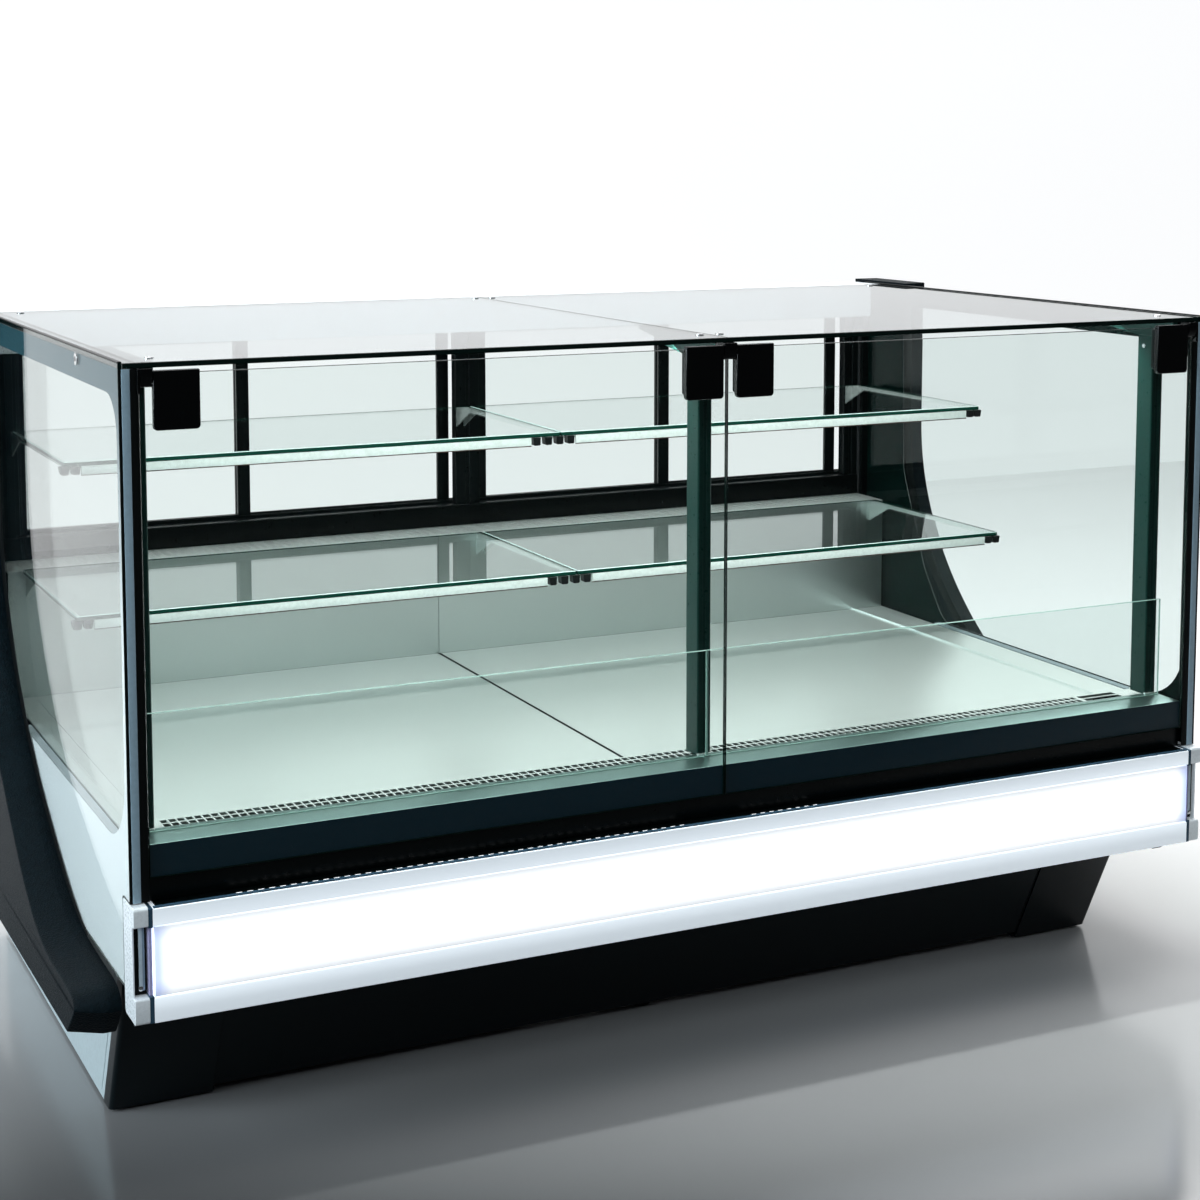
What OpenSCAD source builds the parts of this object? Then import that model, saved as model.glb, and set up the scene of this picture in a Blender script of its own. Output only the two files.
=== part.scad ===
// Refrigerated bakery display case: glass cube on a dark base, two end arms,
// a lit front bumper, two lift-up front panes and four sliding rear doors.
// Lengths are in millimetres. x runs along the front, y to the back, z up.

/* [Glass body] */
// Width of the glass body between the side units
glass_w = 1875; // [1500:5:2400]
// Height of the top pane's upper face above the floor
case_h = 1200; // [1150:5:1300]
// Thickness of one side unit
side_t = 29; // [26:1:36]
// Thickness of the panes
pane_t = 6; // [5:1:7]
// Thickness of the top panes and shelves
plate_t = 8; // [6:1:8]
// Depth of the top panes
top_d = 1040; // [1020:5:1060]

/* [Depths behind the front pane] */
// Rear face of the arms and of the rear sill
back_y = 1150; // [1150:5:1250]
// Front face of the stainless back wall
wall_y = 985; // [975:1:990]
// Front edge of the upper shelf
upper_y = 600; // [520:5:700]
// Front edge of the lower shelf
lower_y = 530; // [450:5:640]

/* [Heights above the floor] */
// Top of the front sill
sill_z = 507; // [500:1:520]
// Top of the deck trays
deck_z = 494; // [486:1:496]
// Underside of the insulated tub
tub_z = 290; // [285:1:300]
// Top of the rear sill beam
rear_sill_z = 773; // [765:1:790]
// Top face of the upper shelf
upper_z = 980; // [940:5:1020]
// Top face of the lower shelf
lower_z = 734; // [734:1:760]

/* [Bumper] */
// Lower edge of the bumper
bumper_z = 253; // [245:1:265]
// Height of the bumper
bumper_h = 169; // [150:1:185]
// How far the bumper stands in front of the glass
bumper_out = 20; // [15:1:30]

/* [Arms] */
// Thickness of one end arm at its foot
arm_t = 71; // [65:1:80]
// Thickness of one end arm over its upright part
arm_top_t = 56; // [45:1:60]
// Width of the flat front face of an arm
arm_face = 19; // [15:1:25]
// How far the outer part of an arm steps back behind its front face
arm_step = 8; // [4:1:20]

/* [Rear doors] */
// Width of a door stile
stile_w = 25; // [20:1:35]
// Thickness of a door stile
stile_t = 10; // [8:1:10]

/* [Hidden] */
$fn = 48;

// ---- places worked out from the driving dimensions ----
half_w = glass_w / 2;
outer_x = half_w + side_t;
mid_y = (back_y - bumper_out) / 2;
top_under = case_h - plate_t;
shell_t = 6;                       // base side panels
base_x = half_w + shell_t;
base_back = back_y - 20;           // rear face of the base and the tub
lean = 0.48;                       // forward lean of the base front per height
base_front = 269;                  // front of the base at the floor
panel_lift = 17;                   // clearance under the base front panel
leg_w = 164;                       // width of a front leg
foot_h = 6;
rail_h = 77;                       // rear top rail
rail_z = case_h - rail_h;
seam_x = -16;                      // where the two shelf panes meet
deck_seam = -107;                  // where the two deck trays meet
deck_right = half_w - 85;          // right end of the deck trays
pivot_y = -5;                      // front pane hinge axis
pivot_z = case_h - 30;
pin_r = 2.5;
run = 0.05;                        // radial running clearance
band_h = 48;                       // dark strip at the foot of a front pane
track_y = [1114, 1128];            // front faces of the two door tracks
door_z0 = rear_sill_z + 1;
door_z1 = rail_z - 1;
upright_y = [1086, 1112];
control_x = 560;
control_z = 600;
switch_y = base_back + 9;           // axis of the rocker switch
gland_x = -700;
gland_z = 90;

module case_place() translate([0, -mid_y, 0]) children();
module box(x, y, z) translate([x[0], y[0], z[0]])
    cube([x[1] - x[0], y[1] - y[0], z[1] - z[0]]);
module both_sides() {
    children();
    mirror([1, 0, 0]) children();
}
// profile drawn in (y, z), thickness from x0 to x1
module side_plate(x0, x1) translate([x0, 0, 0]) rotate([90, 0, 90])
    linear_extrude(x1 - x0) children();
module x_rod(r, x0, x1, y, z) translate([x0, y, z]) rotate([0, 90, 0])
    cylinder(h = x1 - x0, r = r);
module y_rod(r, x, y0, y1, z) translate([x, y0, z]) rotate([-90, 0, 0])
    cylinder(h = y1 - y0, r = r);
module z_rod(r, x, y, z0, z1) translate([x, y, z0]) cylinder(h = z1 - z0, r = r);

function front_at(z) = base_front - lean * z;
function bezier(a, b, c, d, n) = [for (i = [0 : n]) let (t = i / n, s = 1 - t)
    s*s*s*a + 3*s*s*t*b + 3*s*t*t*c + t*t*t*d];

// ---- base ----
module base_frame() case_place() color("dimgray") {
    frame_y0 = front_at(0) + 21;
    frame_y1 = base_back - 10;
    tube = 40;
    union() {
        for (y = [frame_y0, frame_y1 - tube])
            box([-920, 920], [y, y + tube], [20, 20 + tube]);
        for (x = [-920, -20, 920 - tube])
            for (y = [frame_y0, frame_y1 - tube])
                box([x, x + tube], [y, y + tube], [20 + tube, tub_z]);
        for (x = [-920, -20, 920 - tube])
            box([x, x + tube], [frame_y0 + tube, frame_y1 - tube], [20, 20 + tube]);
        // plates that carry the condensing unit and the drain tray
        for (x = [[-920 + tube, -20], [-20 + tube, 920 - tube]])
            box(x, [540, frame_y1 - tube], [56, 20 + tube]);
    }
}

module base_front_panel() case_place() color([0.05, 0.07, 0.08])
    difference() {
        side_plate(-base_x + 40, base_x - 40)
            polygon([
                [front_at(foot_h), foot_h],
                [front_at(foot_h) + 6, foot_h],
                [front_at(tub_z) + 6, tub_z],
                [front_at(tub_z), tub_z]]);
        // raised lower edge between the two front legs
        box([-base_x + leg_w, base_x - leg_w], [0, 400], [0, panel_lift]);
    }

module base_side_panel() side_plate(half_w, base_x)
    polygon([
        [front_at(foot_h) + 40, foot_h],
        [base_back - 4, foot_h],
        [base_back - 4, tub_z],
        [front_at(tub_z) + 40, tub_z]]);
module base_side_right() case_place() color([0.12, 0.15, 0.16]) base_side_panel();
module base_side_left() case_place() color([0.12, 0.15, 0.16])
    mirror([1, 0, 0]) base_side_panel();

module base_corners() case_place() color([0.07, 0.09, 0.10]) both_sides()
    union() {
        side_plate(half_w, base_x)
            polygon([
                [front_at(foot_h), foot_h],
                [front_at(foot_h) + 39, foot_h],
                [front_at(tub_z) + 39, tub_z],
                [front_at(tub_z), tub_z]]);
        side_plate(base_x - 39.5, half_w)
            polygon([
                [front_at(foot_h), foot_h],
                [front_at(foot_h) + 6, foot_h],
                [front_at(tub_z) + 6, tub_z],
                [front_at(tub_z), tub_z]]);
    }

module rear_service_panel() case_place() color("silver")
    difference() {
        box([-half_w + 1, half_w - 1], [base_back - 4, base_back], [20, tub_z - 1]);
        // louvre slots in front of the condenser
        for (i = [0 : 8])
            box([140, 660], [base_back - 10, base_back + 1],
                [70 + 20 * i, 78 + 20 * i]);
        y_rod(10, gland_x, base_back - 10, base_back + 1, gland_z);
    }

module levelling_feet() case_place() color("silver")
    for (x = [-880, 0, 880])
        for (y = [front_at(0) + 41, base_back - 30])
            translate([x, y, 0]) {
                cylinder(h = 12, r = 20);
                translate([0, 0, 12]) cylinder(h = 8, r = 6);
            }

// ---- refrigeration ----
module compressor() case_place() color([0.1, 0.1, 0.11]) translate([220, 860, 60]) {
    difference() {
        union() {
            translate([0, 0, 14]) cylinder(h = 120, r = 82);
            translate([0, 0, 134]) cylinder(h = 26, r1 = 82, r2 = 40);
            translate([-95, -60, 6]) cube([190, 120, 8]);
            for (x = [-80, 80])
                for (y = [-45, 45])
                    translate([x, y, 0]) cylinder(h = 6, r = 11);
        }
        // suction and discharge stubs
        for (y = [-30, 30])
            translate([0, y, 140]) cylinder(h = 40, r = 5);
    }
}

module condenser_coil() case_place() color("silver") {
    coil_x = 560;
    union() {
        box([coil_x, coil_x + 70], [740, 1040], [60, 66]);
        box([coil_x, coil_x + 70], [740, 1040], [256, 260]);
        for (y = [740, 1036])
            box([coil_x, coil_x + 70], [y, y + 4], [66, 256]);
        for (i = [1 : 23])
            box([coil_x + 2, coil_x + 68], [740 + 12 * i, 742 + 12 * i], [66, 256]);
    }
}

module condenser_fan_shroud() case_place() color([0.15, 0.15, 0.16]) {
    fan_y = 890;
    fan_z = 161;
    union() {
        difference() {
            box([500, 560], [742, 1038], [60, 256]);
            box([506, 561], [748, 1032], [72, 250]);
            x_rod(86, 490, 510, fan_y, fan_z);
        }
        // motor on a three-legged spider, with its shaft
        difference() {
            x_rod(90, 496, 500, fan_y, fan_z);
            x_rod(84, 495, 501, fan_y, fan_z);
        }
        x_rod(28, 430, 470, fan_y, fan_z);
        x_rod(4, 470, 516, fan_y, fan_z);
        for (a = [90, 210, 330])
            translate([430, fan_y, fan_z]) rotate([a, 0, 0])
                translate([0, 20, -4]) cube([6, 67, 8]);
        for (a = [90, 210, 330])
            translate([430, fan_y, fan_z]) rotate([a, 0, 0])
                translate([0, 84, -4]) cube([68, 5, 8]);
    }
}

// rotor along +x: hub, bore and blades
module rotor(hub_r, tip_r, depth, bore_r, blades) difference() {
    union() {
        rotate([0, 90, 0]) cylinder(h = depth, r = hub_r);
        for (i = [0 : blades - 1])
            rotate([360 / blades * i, 0, 0])
                translate([depth / 2, hub_r - 2, 0]) rotate([0, 35, 0])
                    translate([-1, 0, -hub_r * 0.6])
                        cube([2, tip_r - hub_r, hub_r * 1.2]);
    }
    translate([-1, 0, 0]) rotate([0, 90, 0]) cylinder(h = depth + 2, r = bore_r);
}
module condenser_fan() case_place() color("gainsboro")
    translate([478, 890, 161]) rotor(24, 78, 26, 4 + run, 5);

module drain_tray() case_place() color("silver") difference() {
    box([-760, -200], [560, 960], [60, 112]);
    box([-757, -203], [563, 957], [63, 113]);
}

module refrigerant_pipes() case_place() color([0.72, 0.45, 0.2]) {
    // discharge line from the compressor over the shroud to the condenser
    union() {
        z_rod(4.8, 220, 830, 200, 268);
        x_rod(4.8, 220, 595, 830, 268);
        z_rod(4.8, 595, 830, 260.3, 268);
        for (x = [220, 595])
            translate([x, 830, 268]) sphere(r = 4.8);
    }
    // suction line from the tub to the compressor
    z_rod(4.8, 220, 890, 200, tub_z);
}

module control_panel() case_place() color([0.08, 0.08, 0.09]) difference() {
    box([control_x, control_x + 240], [base_back, base_back + 14],
        [control_z, control_z + 80]);
    // display window and seats for the buttons and the switch
    box([control_x + 85, control_x + 155], [base_back + 12, base_back + 15],
        [control_z + 26, control_z + 56]);
    for (x = [178, 208])
        y_rod(8.4, control_x + x, base_back + 4, base_back + 15, control_z + 40);
    difference() {
        box([control_x + 20, control_x + 52], [base_back + 2, base_back + 15],
            [control_z + 29, control_z + 51]);
        x_rod(1.5, control_x + 20, control_x + 52, switch_y, control_z + 40);
    }
}
module button(x) y_rod(8, control_x + x, base_back + 7, base_back + 16,
    control_z + 40);
module button_up() case_place() color("gainsboro") button(178);
module button_down() case_place() color("gainsboro") button(208);
module power_switch() case_place() color("red")
    difference() {
        x_rod(9, control_x + 21, control_x + 51, switch_y, control_z + 40);
        x_rod(1.5 + run, control_x + 20, control_x + 52, switch_y, control_z + 40);
        box([control_x + 20, control_x + 52], [base_back, switch_y - 4],
            [control_z + 29, control_z + 51]);
    }

module cable_gland() case_place() color([0.1, 0.1, 0.1]) difference() {
    union() {
        y_rod(9.8, gland_x, base_back - 8, base_back, gland_z);
        y_rod(14, gland_x, base_back, base_back + 12, gland_z);
        y_rod(11, gland_x, base_back + 12, base_back + 18, gland_z);
    }
    y_rod(5.5, gland_x, base_back - 9, base_back + 19, gland_z);
}

// ---- tub and deck ----
module insulated_tub() case_place() color([0.1, 0.11, 0.12]) {
    wall = 40;
    cavity_z = tub_z + wall;
    rear_in = base_back - 42;
    difference() {
        union() {
            box([-half_w, half_w], [22, base_back], [tub_z, deck_z - 4]);
            box([-half_w, half_w], [22, 62], [deck_z - 4, sill_z - 4]);
            box([-half_w, half_w], [rear_in, base_back], [deck_z - 4, rear_sill_z - 43]);
        }
        box([-half_w + wall, half_w - wall], [62, rear_in], [cavity_z, deck_z]);
        z_rod(5, 220, 890, tub_z - 1, cavity_z + 1);
        z_rod(14, -480, 760, tub_z - 1, cavity_z + 1);
    }
}

module back_duct() case_place() color("lightgray")
    for (x = [[-half_w, deck_seam - 0.5], [deck_seam + 0.5, half_w]])
        union() {
            box(x, [wall_y, wall_y + 2], [deck_z, rear_sill_z - 45]);
            box(x, [wall_y + 2, wall_y + 22], [rear_sill_z - 47, rear_sill_z - 45]);
        }

module outlet_grille() case_place() color("lightgray") difference() {
    box([-half_w, half_w], [wall_y, base_back - 42 - 0.5],
        [rear_sill_z - 45, rear_sill_z - 43]);
    for (i = [0 : 21])
        for (j = [0 : 2])
            box([-half_w + 30 + 83 * i, -half_w + 100 + 83 * i],
                [wall_y + 26 + 24 * j, wall_y + 42 + 24 * j],
                [rear_sill_z - 46, rear_sill_z - 42]);
}

module evaporator_coil() case_place() color("silver") union() {
    for (x = [-650, 646])
        box([x, x + 4], [400, 600], [tub_z + 40, 460]);
    for (i = [1 : 35])
        box([-650 + 36 * i, -648 + 36 * i], [404, 596], [344, 456]);
    for (y = [430, 500, 570])
        for (z = [370, 430])
            x_rod(5, -670, 670, y, z);
}

module evaporator_fan_plate() case_place() color("gray") union() {
    difference() {
        box([-700, 700], [300, 303], [tub_z + 40, 468]);
        for (x = [-350, 350])
            y_rod(58, x, 299, 304, 400);
    }
    for (x = [-350, 350]) {
        y_rod(20, x, 322, 350, 400);
        y_rod(3, x, 296, 322, 400);
        for (a = [90, 210, 330])
            translate([x, 344, 400]) rotate([0, a, 0]) {
                translate([15, 0, -3]) cube([50, 4, 6]);
                translate([60, -41, -3]) cube([4, 41, 6]);
            }
    }
}
module evaporator_fan(x) translate([x, 297, 400]) rotate([0, 0, 90])
    rotor(16, 52, 14, 3 + run, 5);
module evaporator_fan_left() case_place() color("white") evaporator_fan(-350);
module evaporator_fan_right() case_place() color("white") evaporator_fan(350);

module deck_tray(x0, x1) union() {
    box([x0, x1], [146, wall_y - 1], [deck_z - 3, deck_z]);
    box([x0, x0 + 2], [146, wall_y - 1], [deck_z - 18, deck_z - 3]);
    box([x1 - 2, x1], [146, wall_y - 1], [deck_z - 18, deck_z - 3]);
}
module deck_tray_left() case_place() color("lightgray")
    deck_tray(-half_w + 42, deck_seam - 1);
module deck_tray_right() case_place() color("lightgray")
    deck_tray(deck_seam + 1, deck_right);
module deck_end_strips() case_place() color("lightgray") {
    box([-half_w, -half_w + 41], [146, wall_y - 1], [deck_z - 4, deck_z]);
    box([deck_right + 1, half_w], [146, wall_y - 1], [deck_z - 3, deck_z]);
}

module air_return_grille() case_place() color("lightgray") difference() {
    union() {
        box([-half_w, half_w], [85.5, 145], [deck_z + 3, deck_z + 5]);
        box([-half_w, half_w], [143, 145], [deck_z - 4, deck_z + 3]);
    }
    for (i = [0 : 20])
        for (j = [0 : 2])
            box([-half_w + 52 + 80 * i, -half_w + 126 + 80 * i],
                [91 + 17 * j, 102 + 17 * j], [deck_z, deck_z + 6]);
}

module front_sill() case_place() color([0.25, 0.3, 0.3]) union() {
    box([-half_w, half_w], [8, 85], [sill_z - 4, sill_z]);
    box([-half_w, half_w], [8, 14], [bumper_z + bumper_h + 2, sill_z - 4]);
    box([-half_w, half_w], [14, 22], [bumper_z + bumper_h + 2, 440]);
}

module rear_sill_beam() case_place() color([0.05, 0.06, 0.07]) {
    low = rear_sill_z - 43;
    union() {
        box([-half_w, half_w], [base_back - 42, back_y], [low, rear_sill_z]);
        for (y = [track_y[0] - 2, track_y[0] + stile_t + 0.5, track_y[1] + stile_t + 0.5])
            box([-half_w, half_w], [y, y + 1.5], [rear_sill_z, rear_sill_z + 6]);
    }
}

// ---- glass body ----
module side_outline() polygon([
    [0, case_h], [0, bumper_z + bumper_h + 4], [43, bumper_z + bumper_h + 4],
    [43, tub_z], [1100, tub_z], [1100, case_h]]);
module side_pane_at(x0, top_z) intersection() {
    side_plate(x0, x0 + pane_t) side_outline();
    box([0, outer_x + 1], [-1, back_y], [0, top_z]);
}
module side_outer_pane_right() case_place() color([0.8, 0.9, 0.88, 0.4])
    side_pane_at(outer_x - pane_t, case_h);
module side_outer_pane_left() case_place() color([0.8, 0.9, 0.88, 0.4])
    mirror([1, 0, 0]) side_pane_at(outer_x - pane_t, case_h);
module side_inner_panes() case_place() color([0.8, 0.9, 0.88, 0.4])
    both_sides() side_pane_at(half_w, top_under);
module side_spacers() case_place() color([0.1, 0.12, 0.12]) both_sides()
    difference() {
        intersection() {
            side_plate(half_w + pane_t, outer_x - pane_t) side_outline();
            box([0, outer_x + 1], [-1, back_y], [0, top_under]);
        }
        box([half_w, outer_x], [32, 935], [sill_z + 4, case_h - 50]);
    }

module top_pane_left() case_place() color([0.8, 0.9, 0.88, 0.4])
    box([-outer_x + pane_t + 0.5, -0.5], [0, top_d], [top_under, case_h]);
module top_pane_right() case_place() color([0.8, 0.9, 0.88, 0.4])
    box([0.5, outer_x - pane_t - 0.5], [0, top_d], [top_under, case_h]);

module front_pane() color([0.8, 0.9, 0.88, 0.4])
    box([1, half_w - 1], [0, pane_t], [sill_z - band_h, case_h - 16]);
module front_pane_right() case_place() front_pane();
module front_pane_left() case_place() mirror([1, 0, 0]) front_pane();

// clamp: front cover with the hinge bore, and its backing plate
module hinge_clamp(x0, x1, bore_x) {
    difference() {
        box([x0, x1], [-11, 0], [case_h - 97, case_h - 17]);
        x_rod(pin_r + run, bore_x[0], bore_x[1], pivot_y, pivot_z);
    }
    box([x0 + 4, x1 - 4], [pane_t, pane_t + 8], [case_h - 90, case_h - 24]);
}
module hinge_blocks() color([0.03, 0.04, 0.05]) {
    hinge_clamp(half_w - 85, half_w - 18, [half_w - 59, half_w - 17]);
    hinge_clamp(12, 79, [11, 53]);
}
module hinge_blocks_right() case_place() hinge_blocks();
module hinge_blocks_left() case_place() mirror([1, 0, 0]) hinge_blocks();

module hinge_brackets() case_place() color([0.04, 0.05, 0.06]) {
    both_sides() union() {
        box([half_w - 17, half_w], [-12, -0.5], [pivot_z - 1, top_under]);
        box([half_w, outer_x], [-12, 0], [pivot_z - 14, top_under]);
        x_rod(pin_r, half_w - 57, half_w - 10, pivot_y, pivot_z);
    }
    union() {
        box([-11, 11], [-12, -0.5], [pivot_z - 1, top_under]);
        box([-11, 11], [-0.5, 20], [case_h - 14, top_under]);
        x_rod(pin_r, -51, 51, pivot_y, pivot_z);
    }
}

module post(x0, x1) union() {
    box([x0, x1], [74, 115], [sill_z, case_h - 38]);
    side_plate(x0, x1) polygon([
        [20, top_under], [20, case_h - 38], [120, case_h - 38],
        [290, case_h - 14], [290, top_under]]);
}
module front_posts() case_place() color([0.12, 0.18, 0.17]) {
    both_sides() post(half_w - 27, half_w - 2);
    post(-12.5, 12.5);
}

module deflector_panes() case_place() color([0.8, 0.9, 0.88, 0.4]) {
    both_sides() box([2, half_w - 3], [62, 67], [sill_z, sill_z + 177]);
}

module rear_top_rail() case_place() color("whitesmoke") {
    union() {
        box([-half_w, half_w], [top_d + 0.5, back_y], [rail_z, case_h]);
        box([-outer_x + pane_t + 0.5, outer_x - pane_t - 0.5],
            [top_d + 0.5, back_y], [top_under, case_h]);
        for (y = [track_y[0] - 2, track_y[0] + stile_t + 0.5, track_y[1] + stile_t + 0.5])
            box([-half_w, half_w], [y, y + 1.5], [rail_z - 6, rail_z]);
    }
}

module rear_uprights() case_place() color([0.05, 0.06, 0.07]) {
    both_sides() box([half_w - 36, half_w - 1], [upright_y[0] + 3, upright_y[1] - 0.5],
        [rear_sill_z, rail_z]);
    box([-26, 26], [upright_y[0] + 3, upright_y[1] - 0.5], [rear_sill_z, rail_z]);
}

// a door: glass between two stiles with a pull rib on one stile
door_w = (half_w - 36 - 26 + stile_w) / 2;
module rear_door(x0, track, grip_left) {
    y0 = track_y[track];
    x1 = x0 + door_w;
    grip_x = grip_left ? x0 + 8 : x1 - 17;
    rib_w = 9;
    color([0.75, 0.85, 0.83, 0.5])
        box([x0 + stile_w, x1 - stile_w], [y0 + 2.5, y0 + 7.5], [door_z0, door_z1]);
    color([0.2, 0.24, 0.24]) union() {
        box([x0, x0 + stile_w], [y0, y0 + stile_t], [door_z0, door_z1]);
        box([x1 - stile_w, x1], [y0, y0 + stile_t], [door_z0, door_z1]);
        box([grip_x, grip_x + rib_w], [y0 + stile_t, y0 + stile_t + 3], [880, 1000]);
    }
}
door_x = [-half_w + 36, -26 - door_w, 26, half_w - 36 - door_w];
module rear_door_1() case_place() rear_door(door_x[0], 0, true);
module rear_door_2() case_place() rear_door(door_x[1], 1, false);
module rear_door_3() case_place() rear_door(door_x[2], 0, true);
module rear_door_4() case_place() rear_door(door_x[3], 1, false);

// ---- shelves ----
module shelf_pair(y0, y1, z1) {
    box([-half_w + 25, seam_x - 1], [y0, y1], [z1 - plate_t, z1]);
    box([seam_x + 1, half_w - 25], [y0, y1], [z1 - plate_t, z1]);
}
module shelf_panes_upper() case_place() color([0.8, 0.9, 0.88, 0.4])
    shelf_pair(upper_y, 1040, upper_z);
module shelf_panes_lower() case_place() color([0.8, 0.9, 0.88, 0.4])
    shelf_pair(lower_y, wall_y - 10, lower_z);

module bracket(x, y0, y1, top_z, tip, root) side_plate(x - 2, x + 2)
    polygon([[y0, top_z], [y0, top_z - tip], [y0 + 40, top_z - tip],
        [y1, top_z - root], [y1, top_z]]);
module shelf_brackets() case_place() color("silver")
    for (x = [-half_w + 32.5, seam_x - 8, seam_x + 8, half_w - 32.5]) {
        bracket(x, upper_y, upright_y[0] + 3, upper_z - plate_t, 14, 45);
        bracket(x, lower_y, wall_y, lower_z - plate_t, 14, 45);
    }
module shelf_light_profiles() case_place() color("whitesmoke")
    for (x = [[-half_w + 40, seam_x - 22], [seam_x + 22, half_w - 40]]) {
        box(x, [upper_y, upper_y + 10], [upper_z - plate_t - 24, upper_z - plate_t]);
        box(x, [lower_y, lower_y + 12], [lower_z - plate_t - 8, lower_z - plate_t]);
    }

// ---- bumper ----
bumper_top = bumper_z + bumper_h;
panel_z = [bumper_z + 38, bumper_top - 26];
module bumper_frame() case_place() color([0.93, 0.95, 0.97]) {
    x = [-half_w - 1, half_w + 1];
    union() {
        box(x, [-bumper_out, 18], [panel_z[1], bumper_top]);
        box(x, [-bumper_out, 18], [bumper_z, panel_z[0]]);
        box(x, [12, 18], [panel_z[0], panel_z[1]]);
        box([x[0], x[1]], [18, 22], [tub_z + 10, 400]);
    }
}
module bumper_light_panel() case_place() color("white")
    box([-half_w + 1, half_w - 1], [-bumper_out + 2, -bumper_out + 6],
        [panel_z[0], panel_z[1]]);
module bumper_end_caps() case_place() color([0.93, 0.95, 0.97]) both_sides()
    difference() {
        box([half_w + 7, outer_x], [-bumper_out, 42], [bumper_z, bumper_top + 3]);
        box([half_w, outer_x - 3], [-bumper_out - 1, 32], [panel_z[0], panel_z[1]]);
        box([outer_x - 4, outer_x + 1], [-bumper_out - 1, -8], [panel_z[0], panel_z[1]]);
    }

// ---- arms ----
arm_top = case_h + 6;
arm_foot_z = 200;
function arm_front(back) = concat(
    [[950 + back, arm_top]],
    bezier([950 + back, 905], [950 + back, 690], [790 + back, 510],
        [600 + back, 408 - back], 12),
    bezier([600 + back, 408 - back], [450, 327 - back], [360, 281 - back],
        [220, 281 - back], 8),
    bezier([100, 280 - back], [75, 280 - back], [60, 270], [60, 250], 5));
function arm_outline(back) = concat(
    [[back_y, arm_top]], arm_front(back), [[102, arm_foot_z], [back_y, arm_foot_z]]);
module arm() color([0.04, 0.06, 0.07]) {
    union() {
        side_plate(outer_x, outer_x + arm_face)
            polygon(arm_outline(0));
        side_plate(outer_x + arm_face, outer_x + arm_top_t)
            polygon(arm_outline(arm_step));
        // the outer face spreads towards the foot
        side_plate(outer_x + arm_top_t, outer_x + arm_t)
            polygon([[102, arm_foot_z], [90, 240], [260, 268], [back_y, 268],
                [back_y, arm_foot_z]]);
    }
}
module arm_right() case_place() arm();
module arm_left() case_place() mirror([1, 0, 0]) arm();

// ---- small hardware ----
module stud_caps() case_place() color("silver") {
    both_sides() {
        for (x = [18, half_w - 30])
            for (y = [60, top_d - 40])
                z_rod(7, x, y, case_h, case_h + 2);
        x_rod(7, outer_x, outer_x + 2, 268, case_h - 17);
    }
}

base_frame();
base_front_panel();
base_side_left();
base_side_right();
base_corners();
rear_service_panel();
levelling_feet();
compressor();
condenser_coil();
condenser_fan_shroud();
condenser_fan();
drain_tray();
refrigerant_pipes();
control_panel();
button_up();
button_down();
power_switch();
cable_gland();
insulated_tub();
back_duct();
outlet_grille();
evaporator_coil();
evaporator_fan_plate();
evaporator_fan_left();
evaporator_fan_right();
deck_tray_left();
deck_tray_right();
deck_end_strips();
air_return_grille();
front_sill();
rear_sill_beam();
side_outer_pane_left();
side_outer_pane_right();
side_inner_panes();
side_spacers();
top_pane_left();
top_pane_right();
front_pane_left();
front_pane_right();
hinge_blocks_left();
hinge_blocks_right();
hinge_brackets();
front_posts();
deflector_panes();
rear_top_rail();
rear_uprights();
rear_door_1();
rear_door_2();
rear_door_3();
rear_door_4();
shelf_panes_upper();
shelf_panes_lower();
shelf_brackets();
shelf_light_profiles();
bumper_frame();
bumper_light_panel();
bumper_end_caps();
arm_left();
arm_right();
stud_caps();
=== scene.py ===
import math
from collections import namedtuple
from itertools import product

import bmesh
import bpy
from mathutils import Euler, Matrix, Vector


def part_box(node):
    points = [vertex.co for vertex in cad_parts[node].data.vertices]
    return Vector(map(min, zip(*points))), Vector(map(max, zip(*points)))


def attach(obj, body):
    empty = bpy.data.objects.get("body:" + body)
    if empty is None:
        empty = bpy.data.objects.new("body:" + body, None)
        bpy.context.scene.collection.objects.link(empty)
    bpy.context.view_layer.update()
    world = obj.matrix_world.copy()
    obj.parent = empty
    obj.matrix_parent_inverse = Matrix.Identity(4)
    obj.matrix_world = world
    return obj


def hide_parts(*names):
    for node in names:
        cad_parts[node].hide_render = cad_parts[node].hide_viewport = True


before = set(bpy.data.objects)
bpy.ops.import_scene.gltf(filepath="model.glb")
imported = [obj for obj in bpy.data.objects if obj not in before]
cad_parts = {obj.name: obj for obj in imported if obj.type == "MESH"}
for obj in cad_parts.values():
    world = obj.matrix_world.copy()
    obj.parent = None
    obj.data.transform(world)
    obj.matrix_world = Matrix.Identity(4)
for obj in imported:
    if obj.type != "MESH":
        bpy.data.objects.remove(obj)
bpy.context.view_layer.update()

# Lengths of the object are in millimetres; materials, stage, lights and camera are in metres.
MM = 0.001
SIDES = ((-1, "left"), (1, "right"))
Point = namedtuple("Point", "x y z")


# ---- places read from the frame ----
def box_of(node):
    """The low and high corners of a CAD node's box."""
    return [Point(*(c / MM for c in corner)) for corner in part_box(node)]


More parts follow.
